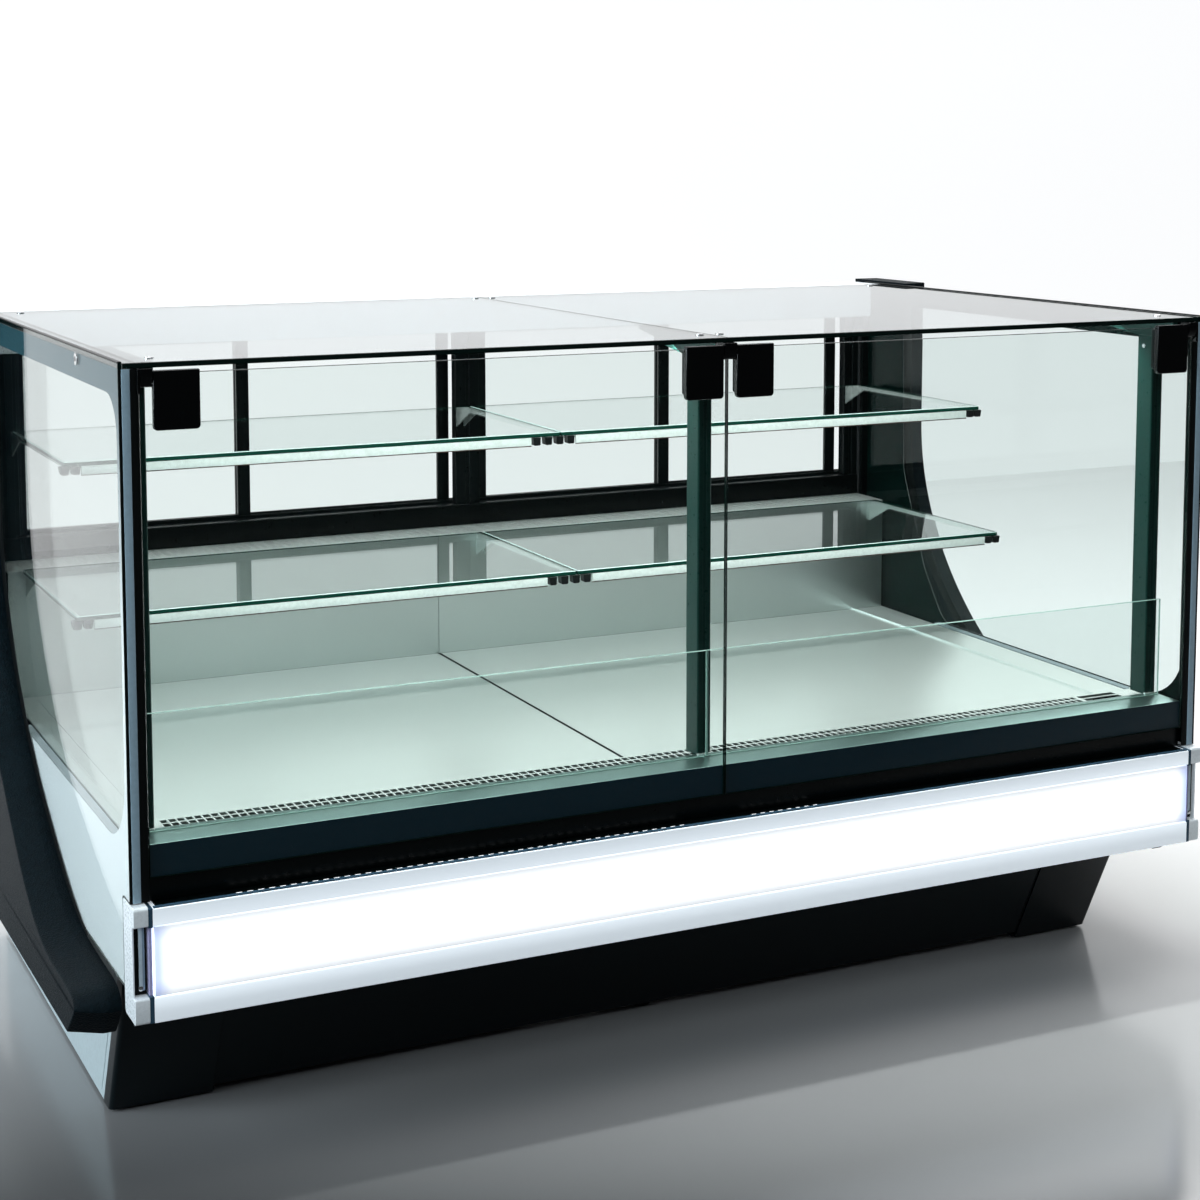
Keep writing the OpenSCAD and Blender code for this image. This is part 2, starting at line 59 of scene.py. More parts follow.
PANE_LO, PANE_HI = box_of("front_pane_right")
GLASS_Y = PANE_LO.y  # outer face of the front panes
CASE_TOP = box_of("top_pane_left")[1].z
HALF_W = PANE_HI.x + 1  # inner face of the side units
OUTER_X = box_of("side_outer_pane_right")[1].x  # outer face of the side units
SIDE_BACK = box_of("side_outer_pane_right")[1].y
BACK_Y = box_of("arm_right")[1].y
SILL_Z = box_of("front_sill")[1].z
DECK_Z = box_of("deck_tray_left")[1].z
WALL_Y = box_of("back_duct")[0].y
PANE = 6  # thickness of the side units' panes
SHELF_SEAM = -16  # where the two panes of a shelf meet
GRILLE_X, GRILLE_PITCH, GRILLE_SLOT, GRILLE_ROW = -HALF_W + 50, 13, 10.4, 18.5


def back(distance):
    """Depth behind the front panes' outer face."""
    return GLASS_Y + distance


def span(a, b, sign):
    """A range of x on the left (-1) or right (1) side, low end first."""
    return sorted((sign * a, sign * b))


def middle_and_ends(half, start, end):
    """Ranges of x: one across the middle, and one near each end, measured from the side units."""
    return (-half, half), (HALF_W - start, HALF_W - end), (-HALF_W + end, -HALF_W + start)


def once(sign, node):
    """A CAD node that spans both sides is replaced with the left side's piece."""
    return node if sign < 0 else ""


# ---- meshes ----
def make(name, verts, faces, materials, body="case", stands_for="", slots=None, smooth=True):
    """Makes a piece from vertices and faces; slots gives a material index for each face."""
    mesh = bpy.data.meshes.new(name)
    mesh.from_pydata([tuple(c * MM for c in v) for v in verts], [], faces)
    for material in materials:
        mesh.materials.append(material)
    if slots:
        for polygon, index in zip(mesh.polygons, slots):
            polygon.material_index = index
    bm = bmesh.new()
    bm.from_mesh(mesh)
    bmesh.ops.remove_doubles(bm, verts=bm.verts, dist=1e-6)
    bmesh.ops.recalc_face_normals(bm, faces=bm.faces)
    bm.to_mesh(mesh)
    bm.free()
    if smooth:
        mesh.shade_smooth()
        mesh.set_sharp_from_angle(angle=math.radians(32))
    piece = bpy.data.objects.new(name, mesh)
    bpy.context.scene.collection.objects.link(piece)
    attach(piece, body)
    if stands_for:
        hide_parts(stands_for)
    return piece


def soften(piece, width, segments):
    """Rounds the edges of a piece."""
    modifier = piece.modifiers.new("edges", "BEVEL")
    modifier.width = width * MM
    modifier.segments = segments
    modifier.limit_method = "ANGLE"
    modifier.angle_limit = math.radians(30)
    modifier.harden_normals = True
    return piece


BOX_FACES = [(0, 3, 2, 1), (4, 5, 6, 7), (0, 1, 5, 4), (1, 2, 6, 5), (2, 3, 7, 6), (3, 0, 4, 7)]


def loft_faces(rings, size):
    """Quads between neighbouring rings of vertices, each ring of the given size."""
    return [(k * size + i, k * size + (i + 1) % size, (k + 1) * size + (i + 1) % size, (k + 1) * size + i)
            for k in range(rings - 1) for i in range(size)]


class Parts:
    """Collects several shapes that make up one piece."""

    def __init__(self):
        self.verts, self.faces, self.slots = [], [], []

    def add(self, verts, faces, slot=0):
        start = len(self.verts)
        self.verts += [Point(*v) for v in verts]
        self.faces += [tuple(start + i for i in face) for face in faces]
        self.slots += [slot] * len(faces)
        return self

    def box(self, lo, hi, slot=0):
        verts = [(x, y, z) for z in (lo[2], hi[2]) for x, y in
                 ((lo[0], lo[1]), (hi[0], lo[1]), (hi[0], hi[1]), (lo[0], hi[1]))]
        return self.add(verts, BOX_FACES, slot)

    def prism(self, outline, place_point, low, high, slot=0):
        """An outline of (u, v) points, swept from low to high; place_point puts (u, v, w) in space."""
        n = len(outline)
        verts = [place_point(u, v, w) for w in (low, high) for u, v in outline]
        faces = [tuple(range(n)), tuple(reversed(range(n, 2 * n)))]
        faces += [(i, i + n, (i + 1) % n + n, (i + 1) % n) for i in range(n)]
        return self.add(verts, faces, slot)

    def disc(self, centre, radius, depth, axis, slot=0, steps=28, lip=0.2):
        """A short round stud with a chamfered rim, standing along axis."""
        axis = Vector(axis).normalized()
        side = axis.orthogonal().normalized()
        other = axis.cross(side)
        verts = []
        for r, h in ((radius, 0), (radius, depth * (1 - lip)), (radius * (1 - lip), depth)):
            for i in range(steps):
                a = 2 * math.pi * i / steps
                verts.append(Vector(centre) + axis * h + (side * math.cos(a) + other * math.sin(a)) * r)
        faces = [tuple(range(steps)), tuple(reversed(range(2 * steps, 3 * steps)))] + loft_faces(3, steps)
        return self.add(verts, faces, slot)

    def mirrored(self):
        """Adds a copy on the other side of the case."""
        start = len(self.verts)
        self.verts += [Point(-v.x, v.y, v.z) for v in self.verts]
        self.faces += [tuple(start + i for i in reversed(face)) for face in self.faces]
        self.slots += self.slots
        return self

    def piece(self, name, materials, stands_for="", body="case", smooth=True, soft=0, segments=2):
        made = make(name, self.verts, self.faces, materials, body, stands_for, self.slots, smooth)
        return soften(made, soft, segments) if soft else made


def on_x(u, v, w):
    return w, u, v


def on_y(u, v, w):
    return u, w, v


def on_z(u, v, w):
    return u, v, w


def rect(u0, v0, u1, v1):
    return [(u0, v0), (u0, v1), (u1, v1), (u1, v0)]


def rounded(points, radii, steps=8):
    """An outline with its corners rounded to the given radii; it is worked out in metres."""
    out = []
    metres = [Vector([c * MM for c in point]) for point in points]
    for i, (p, radius) in enumerate(zip(metres, [r * MM for r in radii])):
        a = (metres[i - 1] - p).normalized()
        b = (metres[(i + 1) % len(metres)] - p).normalized()
        if radius <= 0:
            out.append(tuple(p))
            continue
        half = math.acos(max(-1, min(1, a.dot(b)))) / 2
        reach = radius / math.tan(half)
        start, end = p + a * reach, p + b * reach
        middle = p + (a + b).normalized() * (radius / math.sin(half))
        u, v = start - middle, end - middle
        turn = math.atan2(u.x * v.y - u.y * v.x, u.dot(v))
        for k in range(steps + 1):
            t = turn * k / steps
            c, s = math.cos(t), math.sin(t)
            out.append((middle.x + u.x * c - u.y * s, middle.y + u.x * s + u.y * c))
    return [(x / MM, y / MM) for x, y in out]


def bezier(a, b, c, d, n):
    """n + 1 points along a cubic curve."""
    out = []
    for i in range(n + 1):
        t = i / n
        s = 1 - t
        out.append(tuple(s**3 * a[k] + 3 * s * s * t * b[k] + 3 * s * t * t * c[k] + t**3 * d[k]
                         for k in (0, 1)))
    return out


def slotted(parts, xs, ys, holes, z0, z1):
    """A plate cut into cells by xs and ys; the cells in holes are open and get walls."""
    index = {}
    verts, faces = [], []

    def vertex(i, j, k):
        if (i, j, k) not in index:
            index[i, j, k] = len(verts)
            verts.append((xs[i], ys[j], (z0, z1)[k]))
        return index[i, j, k]

    nx, ny = len(xs) - 1, len(ys) - 1

    def solid(i, j):
        return 0 <= i < nx and 0 <= j < ny and (i, j) not in holes

    for i in range(nx):
        for j in range(ny):
            if not solid(i, j):
                continue
            for k in (0, 1):
                faces.append([vertex(i, j, k), vertex(i + 1, j, k),
                              vertex(i + 1, j + 1, k), vertex(i, j + 1, k)])
            for di, dj, a, b in ((-1, 0, (i, j), (i, j + 1)), (1, 0, (i + 1, j), (i + 1, j + 1)),
                                 (0, -1, (i, j), (i + 1, j)), (0, 1, (i, j + 1), (i + 1, j + 1))):
                if not solid(i + di, j + dj):
                    faces.append([vertex(*a, 0), vertex(*b, 0), vertex(*b, 1), vertex(*a, 1)])
    return parts.add(verts, faces)


def slot_cells(start, count, pitch, width, end, first):
    """Breakpoints from first to end along one direction, and the numbers of the open cells."""
    marks = [first]
    open_cells = []
    for i in range(count):
        marks += [start + i * pitch, start + i * pitch + width]
        open_cells.append(2 * i + 1)
    marks.append(end)
    return marks, open_cells


# ---- materials ----
class Nodes:
    """Adds nodes and links to a node tree."""

    def __init__(self, tree):
        self.tree = tree

    def node(self, kind, numbers=(), **settings):
        made = self.tree.nodes.new(kind)
        for key, value in settings.items():
            setattr(made, key, value)
        for key, value in dict(numbers).items():
            made.inputs[key].default_value = value
        return made

    def link(self, a, b):
        self.tree.links.new(a, b)

    def ranged(self, value, low, high, a=0.3, b=0.7):
        """Maps a value from a range a to b onto low to high."""
        made = self.node("ShaderNodeMapRange", {"From Min": a, "From Max": b, "To Min": low, "To Max": high})
        self.link(value, made.inputs["Value"])
        return made.outputs["Result"]


class Look(Nodes):
    """A procedural material around one Principled shader."""

    def __init__(self, name, colour, rough, metallic=0.0, **sockets):
        self.material = bpy.data.materials.new(name)
        self.material.use_nodes = True
        super().__init__(self.material.node_tree)
        self.shader = self.tree.nodes["Principled BSDF"]
        self.colour = colour
        sockets.update({"Base Color": (*colour, 1), "Roughness": rough, "Metallic": metallic})
        for key, value in sockets.items():
            self.shader.inputs[key.replace("_", " ")].default_value = value
        self.coords = self.node("ShaderNodeTexCoord")
        self.height = None

    def place(self, stretch=(1, 1, 1)):
        mapping = self.node("ShaderNodeMapping", {"Scale": stretch})
        self.link(self.coords.outputs["Object"], mapping.inputs["Vector"])
        return mapping.outputs["Vector"]

    def noise(self, scale, detail=3.0, stretch=(1, 1, 1)):
        made = self.node("ShaderNodeTexNoise", {"Scale": scale, "Detail": detail})
        self.link(self.place(stretch), made.inputs["Vector"])
        return made.outputs["Fac"]

    def cells(self, scale):
        made = self.node("ShaderNodeTexVoronoi", {"Scale": scale}, feature="F1")
        self.link(self.place(), made.inputs["Vector"])
        return made.outputs["Distance"]

    def ramp(self, value, low, high):
        """Colours between two colours by a value from 0 to 1."""
        made = self.node("ShaderNodeValToRGB")
        for element, colour in zip(made.color_ramp.elements, (low, high)):
            element.color = (*colour, 1)
        self.link(value, made.inputs["Fac"])
        return made.outputs["Color"]

    def tint(self, value, dark, light, a=0.3, b=0.7):
        """Colours the surface between two colours by a pattern."""
        self.link(self.ramp(self.ranged(value, 0, 1, a, b), dark, light), self.shader.inputs["Base Color"])
        return self

    def vary(self, value, amount=0.12):
        """Darker and lighter patches of the material's own colour."""
        dark = tuple(c * (1 - amount) for c in self.colour)
        light = tuple(min(1, c * (1 + amount)) for c in self.colour)
        return self.tint(value, dark, light)

    def roughness(self, value, low, high):
        self.link(self.ranged(value, low, high), self.shader.inputs["Roughness"])
        return self

    def bump(self, value, distance, strength=0.5):
        made = self.node("ShaderNodeBump", {"Strength": strength, "Distance": distance})
        self.link(value, made.inputs["Height"])
        if self.height:
            self.link(self.height, made.inputs["Normal"])
        self.height = made.outputs["Normal"]
        self.link(self.height, self.shader.inputs["Normal"])
        return self

    def layers(self, *steps):
        """Lays noise on the surface; a step is a method, the noise's scale and detail, and the rest."""
        for kind, scale, detail, *numbers in steps:
            getattr(self, kind)(self.noise(scale, detail), *numbers)
        return self.material

    def reach(self, axis, centre=0.0):
        """Distance from a plane across one axis."""
        split = self.node("ShaderNodeSeparateXYZ")
        self.link(self.place(), split.inputs["Vector"])
        shifted = self.node("ShaderNodeMath", {1: centre}, operation="SUBTRACT")
        self.link(split.outputs[axis], shifted.inputs[0])
        made = self.node("ShaderNodeMath", operation="ABSOLUTE")
        self.link(shifted.outputs["Value"], made.inputs[0])
        return made.outputs["Value"]

    def glows(self, value, near, far, a, b):
        """Emission falls from one strength to another with a distance."""
        self.link(self.ranged(value, near, far, a, b), self.shader.inputs["Emission Strength"])
        return self

    def lets_light_in(self, tint):
        """Shadow and diffuse rays pass straight through, so the case is lit through its glass."""
        path = self.node("ShaderNodeLightPath")
        either = self.node("ShaderNodeMath", operation="MAXIMUM")
        clear = self.node("ShaderNodeBsdfTransparent", {"Color": (*tint, 1)})
        mix = self.node("ShaderNodeMixShader")
        self.link(path.outputs["Is Shadow Ray"], either.inputs[0])
        self.link(path.outputs["Is Diffuse Ray"], either.inputs[1])
        self.link(either.outputs["Value"], mix.inputs["Fac"])
        self.link(self.shader.outputs["BSDF"], mix.inputs[1])
        self.link(clear.outputs["BSDF"], mix.inputs[2])
        self.link(mix.outputs["Shader"], self.tree.nodes["Material Output"].inputs["Surface"])
        return self


def moulded_black():
    look = Look("moulded_black", (0.0035, 0.006, 0.0075), 0.48, Specular_IOR_Level=0.05)
    look.bump(look.cells(380), 0.0012, 0.9)
    return look.layers(("bump", 900, 4, 0.0002, 0.4),
                       ("tint", 140, 4, (0.0008, 0.0032, 0.0048), (0.0026, 0.0075, 0.0105)),
                       ("roughness", 260, 3, 0.44, 0.52))


def powder_coat(name, colour, rough=0.36, shine=0.3):
    return Look(name, colour, rough, Specular_IOR_Level=shine).layers(
        ("bump", 1100, 2, 0.0001, 0.4), ("vary", 120, 4, 0.06),
        ("roughness", 160, 3, rough - 0.03, rough + 0.04))


def gloss_black(name, colour):
    return Look(name, colour, 0.14, Specular_IOR_Level=0.4).layers(
        ("vary", 240, 3, 0.04), ("bump", 600, 3, 0.00001, 0.15), ("roughness", 200, 2, 0.13, 0.15))


def brushed_steel(name, colour, along=(0.03, 9, 9), rough=(0.28, 0.31), metal=1.0, fine=60):
    """Fine scratches along one axis; a low `fine` gives only broad soft bands."""
    look = Look(name, colour, 0.3, metal)
    streaks = look.noise(fine, 3, along)
    look.vary(streaks, 0.02)
    if fine > 30:
        look.bump(streaks, 0.00001, 0.08)
    return look.roughness(look.noise(fine * 0.8, 3, along), *rough).material


def galvanised():
    look = Look("galvanised_steel", (0.5, 0.52, 0.53), 0.42, 1.0)
    spangle = look.cells(70)
    look.vary(spangle, 0.18)
    look.bump(look.noise(300, 3), 0.00005, 0.4)
    return look.roughness(spangle, 0.34, 0.5).material


def panel_heights():
    """Middle and half height of the bumper's lit panel, in metres."""
    lo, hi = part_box("bumper_light_panel")
    return (lo.z + hi.z) / 2, (hi.z - lo.z) / 2


def white_coat(name, colour, glow=0.0):
    """White enamel; near the lit panel it may glow, for the light that spills on it."""
    look = Look(name, colour, 0.3, Coat_Weight=0.3, Coat_Roughness=0.12)
    look.layers(("vary", 220, 3, 0.015), ("bump", 900, 2, 0.00006, 0.3))
    look.shader.inputs["Emission Color"].default_value = (0.84, 0.92, 1.0, 1)
    if glow:
        middle, half = panel_heights()
        look.glows(look.reach("Z", middle), glow * 1.45, glow * 0.85, half, half + 22 * MM)
    return look.layers(("roughness", 240, 3, 0.25, 0.31))


def lit_panel(name, fades=True):
    """Opal diffuser: brightest along the middle, cooler and bluer at both ends."""
    look = Look(name, (0.93, 0.96, 1.0), 0.35)
    look.bump(look.noise(700, 2), 0.00005, 0.3)
    ends = look.ranged(look.reach("X"), 0, 1, (HALF_W - 26) * MM, (HALF_W - 6) * MM)
    ramp = look.ramp(ends, (0.96, 0.98, 1.0), (0.30, 0.38, 0.72))
    speckle = look.node("ShaderNodeMixRGB", {"Fac": 0.05}, blend_type="MULTIPLY")
    look.link(ramp, speckle.inputs["Color1"])
    look.link(look.noise(400, 2), speckle.inputs["Color2"])
    look.link(speckle.outputs["Color"], look.shader.inputs["Emission Color"])
    if fades:
        middle, half = panel_heights()
        look.glows(look.reach("Z", middle), 1.3, 0.40, half - 24 * MM, half)
    else:
        look.shader.inputs["Emission Strength"].default_value = 1.1
    return look.material


def clear_glass(name, ior, tint):
    look = Look(name, tint, 0.0, Transmission_Weight=1.0, IOR=ior)
    look.bump(look.noise(2.5, 1), 0.0004, 0.004)
    return look.lets_light_in((0.95, 0.97, 0.965)).material


def glass_edge(name, dark, light):
    return Look(name, light, 0.12, Specular_IOR_Level=0.35).layers(
        ("tint", 400, 3, dark, light), ("bump", 900, 2, 0.00003, 0.3))


def printed_enamel(name, colour, shine, head=None):
    """Ceramic print on glass; for the side units the silver is darkened to blue-grey towards the top, a
    painted gradient of shade and reflection laid over the print.
    """
    look = Look(name, colour, 0.3, Specular_IOR_Level=shine)
    # painted shade and reflection: blue-grey at the top, silver lower down
    if head:
        look.tint(look.reach("Z"), colour, head, (CASE_TOP - 420) * MM, (CASE_TOP - 60) * MM)
    else:
        look.layers(("vary", 160, 3, 0.04))
    return look.layers(("bump", 1500, 2, 0.00003, 0.3), ("roughness", 200, 3, 0.27, 0.33))


def bright_metal(name, colour):
    return Look(name, colour, 0.18, 1.0).layers(
        ("vary", 140, 4, 0.1), ("bump", 420, 3, 0.00004, 0.4), ("roughness", 200, 3, 0.12, 0.28))


def plain_plastic(name, colour, rough=0.4, shine=0.4):
    return Look(name, colour, rough, Specular_IOR_Level=shine).layers(
        ("vary", 150, 3, 0.08), ("bump", 1300, 2, 0.0001, 0.5),
        ("roughness", 180, 3, rough - 0.05, rough + 0.05))


ARM = moulded_black()
DARK = powder_coat("satin_black", (0.0008, 0.0042, 0.0058), 0.32, shine=0.2)
SIDE = powder_coat("satin_grey", (0.42, 0.50, 0.52), 0.36)
POST = powder_coat("grey_green_profile", (0.006, 0.027, 0.022), 0.3, shine=0.2)
BLACK = powder_coat("black_profile", (0.0010, 0.0022, 0.0022), 0.3, shine=0.2)
GLOSS = gloss_black("gloss_black", (0.0008, 0.0013, 0.0016))
BAND = gloss_black("navy_band", (0.0065, 0.021, 0.032))
STEEL = brushed_steel("brushed_stainless", (0.80, 0.84, 0.81), metal=0.7)
STEEL_UP = brushed_steel("brushed_stainless_wall", (0.74, 0.79, 0.77), (1, 1, 0.05), (0.30, 0.32), fine=4)
SILL = brushed_steel("dark_stainless", (0.34, 0.49, 0.46))
GALVANISED = galvanised()
WHITE = white_coat("white_aluminium", (0.84, 0.90, 0.94))
WHITE_LIT = white_coat("white_edge_lit", (0.86, 0.92, 0.96), 0.42)
WHITE_CAP = white_coat("white_cap", (0.67, 0.72, 0.74), 0.08)
LIT = lit_panel("opal_diffuser")
SLOT_GLOW = lit_panel("opal_slot_strip", False)
STEP = powder_coat("blue_teal_liner", (0.03, 0.07, 0.11), 0.3)
GREY_SILL = powder_coat("grey_anodised", (0.26, 0.30, 0.32), 0.4, shine=0.1)
# a paler band along the outer edge of the blue strip: painted highlight
STRIP_PAINTED_HIGHLIGHT = powder_coat("blue_strip_painted_highlight", (0.55, 0.66, 0.72), 0.22, shine=0.5)
STRIP = powder_coat("steel_blue_strip", (0.30, 0.42, 0.50), 0.22, shine=0.6)
GLASS = clear_glass("top_glass", 1.2, (0.68, 0.73, 0.74))
SIDE_GLASS = clear_glass("side_glass", 1.12, (0.90, 0.93, 0.925))
COATED = clear_glass("coated_glass", 1.2, (0.87, 0.91, 0.90))
EDGE = glass_edge("glass_edge_dark", (0.0006, 0.004, 0.003), (0.002, 0.011, 0.009))
SHELF_EDGE = glass_edge("glass_edge_green", (0.002, 0.018, 0.012), (0.006, 0.045, 0.030))
EDGE_THIN = glass_edge("glass_edge_soft", (0.20, 0.32, 0.28), (0.30, 0.44, 0.39))
SHELF_LIP = glass_edge("glass_edge_pale", (0.42, 0.56, 0.52), (0.55, 0.70, 0.65))
# silver print whose top is darkened to blue-grey: painted shade and reflection
PRINT_OUT = printed_enamel("silver_enamel_with_painted_shade", (0.80, 0.82, 0.83), 0.0, (0.035, 0.09, 0.11))
PRINT_IN = printed_enamel("dark_enamel", (0.0015, 0.007, 0.006), 0.0)
CHROME = bright_metal("bright_metal", (0.78, 0.79, 0.8))
SCREW = bright_metal("screw_steel", (0.35, 0.36, 0.37))
PLASTIC = plain_plastic("black_nylon", (0.004, 0.005, 0.005), shine=0.3)
RUBBER = plain_plastic("black_rubber", (0.0015, 0.0025, 0.0025), 0.5, 0.15)
PALE_PLASTIC = plain_plastic("pale_plastic", (0.55, 0.57, 0.58))
RED = plain_plastic("red_rocker", (0.38, 0.012, 0.012), 0.25)
LILAC = plain_plastic("lilac_end_piece", (0.36, 0.34, 0.52), 0.3)
RAIL = plain_plastic("frosted_rail", (0.50, 0.57, 0.54), 0.22)
RAIL_LIP = plain_plastic("brown_lip", (0.05, 0.035, 0.028), 0.3)
COPPER = bright_metal("copper", (0.62, 0.28, 0.15))
FINS = brushed_steel("thin_fins", (0.62, 0.64, 0.66), (0.1, 0.1, 9))


# ---- glass plates ----
def plate(name, lo, hi, edge, body="case", stands_for="", chamfer=0.8, lip=None, glass=None):
    """A pane with ground edges: clear faces, a dark or green rim, a lip colour on its upper chamfer."""
    size = [hi[i] - lo[i] for i in range(3)]
    thin = size.index(min(size))
    a, b = [i for i in range(3) if i != thin]
    verts = []
    for depth, inset in ((lo[thin], chamfer), (lo[thin] + chamfer, 0),
                         (hi[thin] - chamfer, 0), (hi[thin], chamfer)):
        for u, v in ((lo[a] + inset, lo[b] + inset), (hi[a] - inset, lo[b] + inset),
                     (hi[a] - inset, hi[b] - inset), (lo[a] + inset, hi[b] - inset)):
            point = [0, 0, 0]
            point[thin], point[a], point[b] = depth, u, v
            verts.append(point)
    faces = [(0, 1, 2, 3), (12, 13, 14, 15)] + loft_faces(4, 4)
    slots = [0, 0] + [1] * 8 + [2 if lip else 1] * 4
    looks = [glass or COATED, edge] + ([lip] if lip else [])
    return make(name, verts, faces, looks, body, stands_for, slots, smooth=False)


def glass_body():
    for sign, side in SIDES:
        body = side + "_front_pane"
        for node, rides, glass in (("top_pane_", "case", GLASS), ("front_pane_", body, COATED)):
            plate(node + side + "_glass", *box_of(node + side), EDGE, rides, node + side, glass=glass)
        lo, hi = box_of("front_pane_" + side)
        band = Parts().box((lo.x + 1, hi.y + 0.05, lo.z + 1), (hi.x - 1, hi.y + 0.6, SILL_Z + 0.5))
        band.piece("front_band_" + side, [BAND], body=body, soft=0.2)
    for sign, side in SIDES:
        for node, name, seam, gap, edge, chamfer, lip in (
                ("deflector_panes", "deflector_glass_", 0, 0.6, EDGE_THIN, 0.8, None),
                ("shelf_panes_upper", "shelf_upper_", SHELF_SEAM, 1.6, SHELF_EDGE, 1.2, SHELF_LIP),
                ("shelf_panes_lower", "shelf_lower_", SHELF_SEAM, 1.6, SHELF_EDGE, 1.2, SHELF_LIP)):
            lo, hi = box_of(node)
            x0, x1 = (lo.x, seam - gap) if sign < 0 else (seam + gap, hi.x)
            plate(name + side, (x0, lo.y, lo.z), (x1, hi.y, hi.z), edge,
                  stands_for=once(sign, node), chamfer=chamfer, lip=lip)


# ---- side units ----
def window_outline():
    """The clear window in a side unit, as (depth, height) points."""
    points = [(back(depth), CASE_TOP - drop) for depth, drop in
              ((25, 48), (25, 704), (775, 704), (850, 600), (935, 400), (945, 48))]
    return rounded(points, [60, 105, 60, 80, 120, 15], 10)


def side_outline():
    bumper_top = box_of("bumper_end_caps")[1].z + 1
    foot = box_of("side_outer_pane_right")[0].z
    return [(back(0), CASE_TOP), (back(0), bumper_top), (back(43), bumper_top), (back(43), foot),
            (SIDE_BACK, foot), (SIDE_BACK, CASE_TOP)]


def with_window(outer, inner):
    """Faces between an outline and the window inside it, by a filled bmesh ring."""
    bm = bmesh.new()
    for loop in (outer, inner):
        verts = [bm.verts.new((u, v, 0)) for u, v in loop]
        for i, vert in enumerate(verts):
            bm.edges.new((vert, verts[(i + 1) % len(verts)]))
    bmesh.ops.triangle_fill(bm, use_beauty=True, use_dissolve=False, edges=bm.edges[:])
    bm.verts.index_update()
    points = [(v.co.x, v.co.y) for v in bm.verts]
    faces = [tuple(v.index for v in f.verts) for f in bm.faces]
    bm.free()
    return points, faces


def side_units():
    outline = side_outline()
    ledge, foot = outline[1][1], outline[3][1]
    points, faces = with_window(outline, window_outline())
    printed = OUTER_X - PANE  # the outer pane's inner face
    for sign, side in SIDES:
        for tag, top, a, b, node in (("outer", CASE_TOP, printed, OUTER_X, "side_outer_pane_" + side),
                                     ("inner", CASE_TOP - 8, HALF_W, HALF_W + PANE,
                                      once(sign, "side_inner_panes"))):
            pane = Parts().prism([(u, min(v, top)) for u, v in outline], on_x, sign * a, sign * b)
            pane.slots = [0, 0] + [1] * len(outline)
            pane.piece("side_glass_%s_%s" % (tag, side), [SIDE_GLASS, EDGE], node, smooth=False)
        # enamel on the inside of the outer pane, round the window: silver out, dark in
        for depth, material, tag in ((0.3, PRINT_OUT, "silver"), (0.7, PRINT_IN, "dark")):
            verts = [(sign * (printed - depth), u, min(v, CASE_TOP - 8.5)) for u, v in points]
            sheet = make("side_print_%s_%s" % (tag, side), verts, faces, [material], smooth=False)
            thick = sheet.modifiers.new("print", "SOLIDIFY")
            thick.thickness = 0.2 * MM
            thick.offset = 0
        # spacer bars round the rim of the unit
        x0, x1 = span(HALF_W + PANE + 1, printed - 1, sign)
        bars = Parts()
        bars.box((x0, back(6), ledge + 4), (x1, back(18), CASE_TOP - 12))
        bars.box((x0, back(18), CASE_TOP - 24), (x1, SIDE_BACK - 8, CASE_TOP - 12))
        bars.box((x0, SIDE_BACK - 20, foot + 6), (x1, SIDE_BACK - 8, CASE_TOP - 24))
        bars.box((x0, back(50), foot + 6), (x1, SIDE_BACK - 20, foot + 18))
        bars.piece("side_spacer_" + side, [BLACK], once(sign, "side_spacers"), soft=0.8)
        sill = Parts().box((x0, back(20), CASE_TOP - 717), (x1, back(790), CASE_TOP - 706))
        sill.piece("side_window_sill_" + side, [GREY_SILL], soft=0.8)
        # edge profile over the front of both panes: rubber, blue strip, rubber
        profile = Parts()
        for a, b, proud, slot in ((OUTER_X - 4.6, OUTER_X - 0.2, 0.7, 0),
                                  (OUTER_X - 16.6, OUTER_X - 4.7, 1.5, 1),
                                  (HALF_W + 0.5, OUTER_X - 16.7, 0.7, 0)):
            x0, x1 = span(a, b, sign)
            near, far = back(-0.1), back(-0.1 - proud)
            section = rounded([(x0, near), (x1, near), (x1, far), (x0, far)], [0, 0, 0.5, 0.5], 3)
            profile.prism(section, on_z, ledge + 0.5, CASE_TOP - 8.5, slot)
        profile.piece("side_edge_profile_" + side, [RUBBER, STRIP])


# ---- arms ----
def arm_curve():
    """Front edge of an arm from its top to the lower front corner, as (depth, height)."""
    top = [(950, box_of("arm_right")[1].z), (950, 1100), (950, 1000)]
    bend = bezier((950, 905), (950, 690), (790, 510), (600, 408), 26)
    reach = bezier((600, 408), (450, 327), (360, 281), (220, 281), 14)
    nose = bezier((120, 280), (80, 280), (60, 270), (60, 248), 8)
    return top + bend + reach[1:] + nose + [(80, 224), (100, 203), (104, 200)]


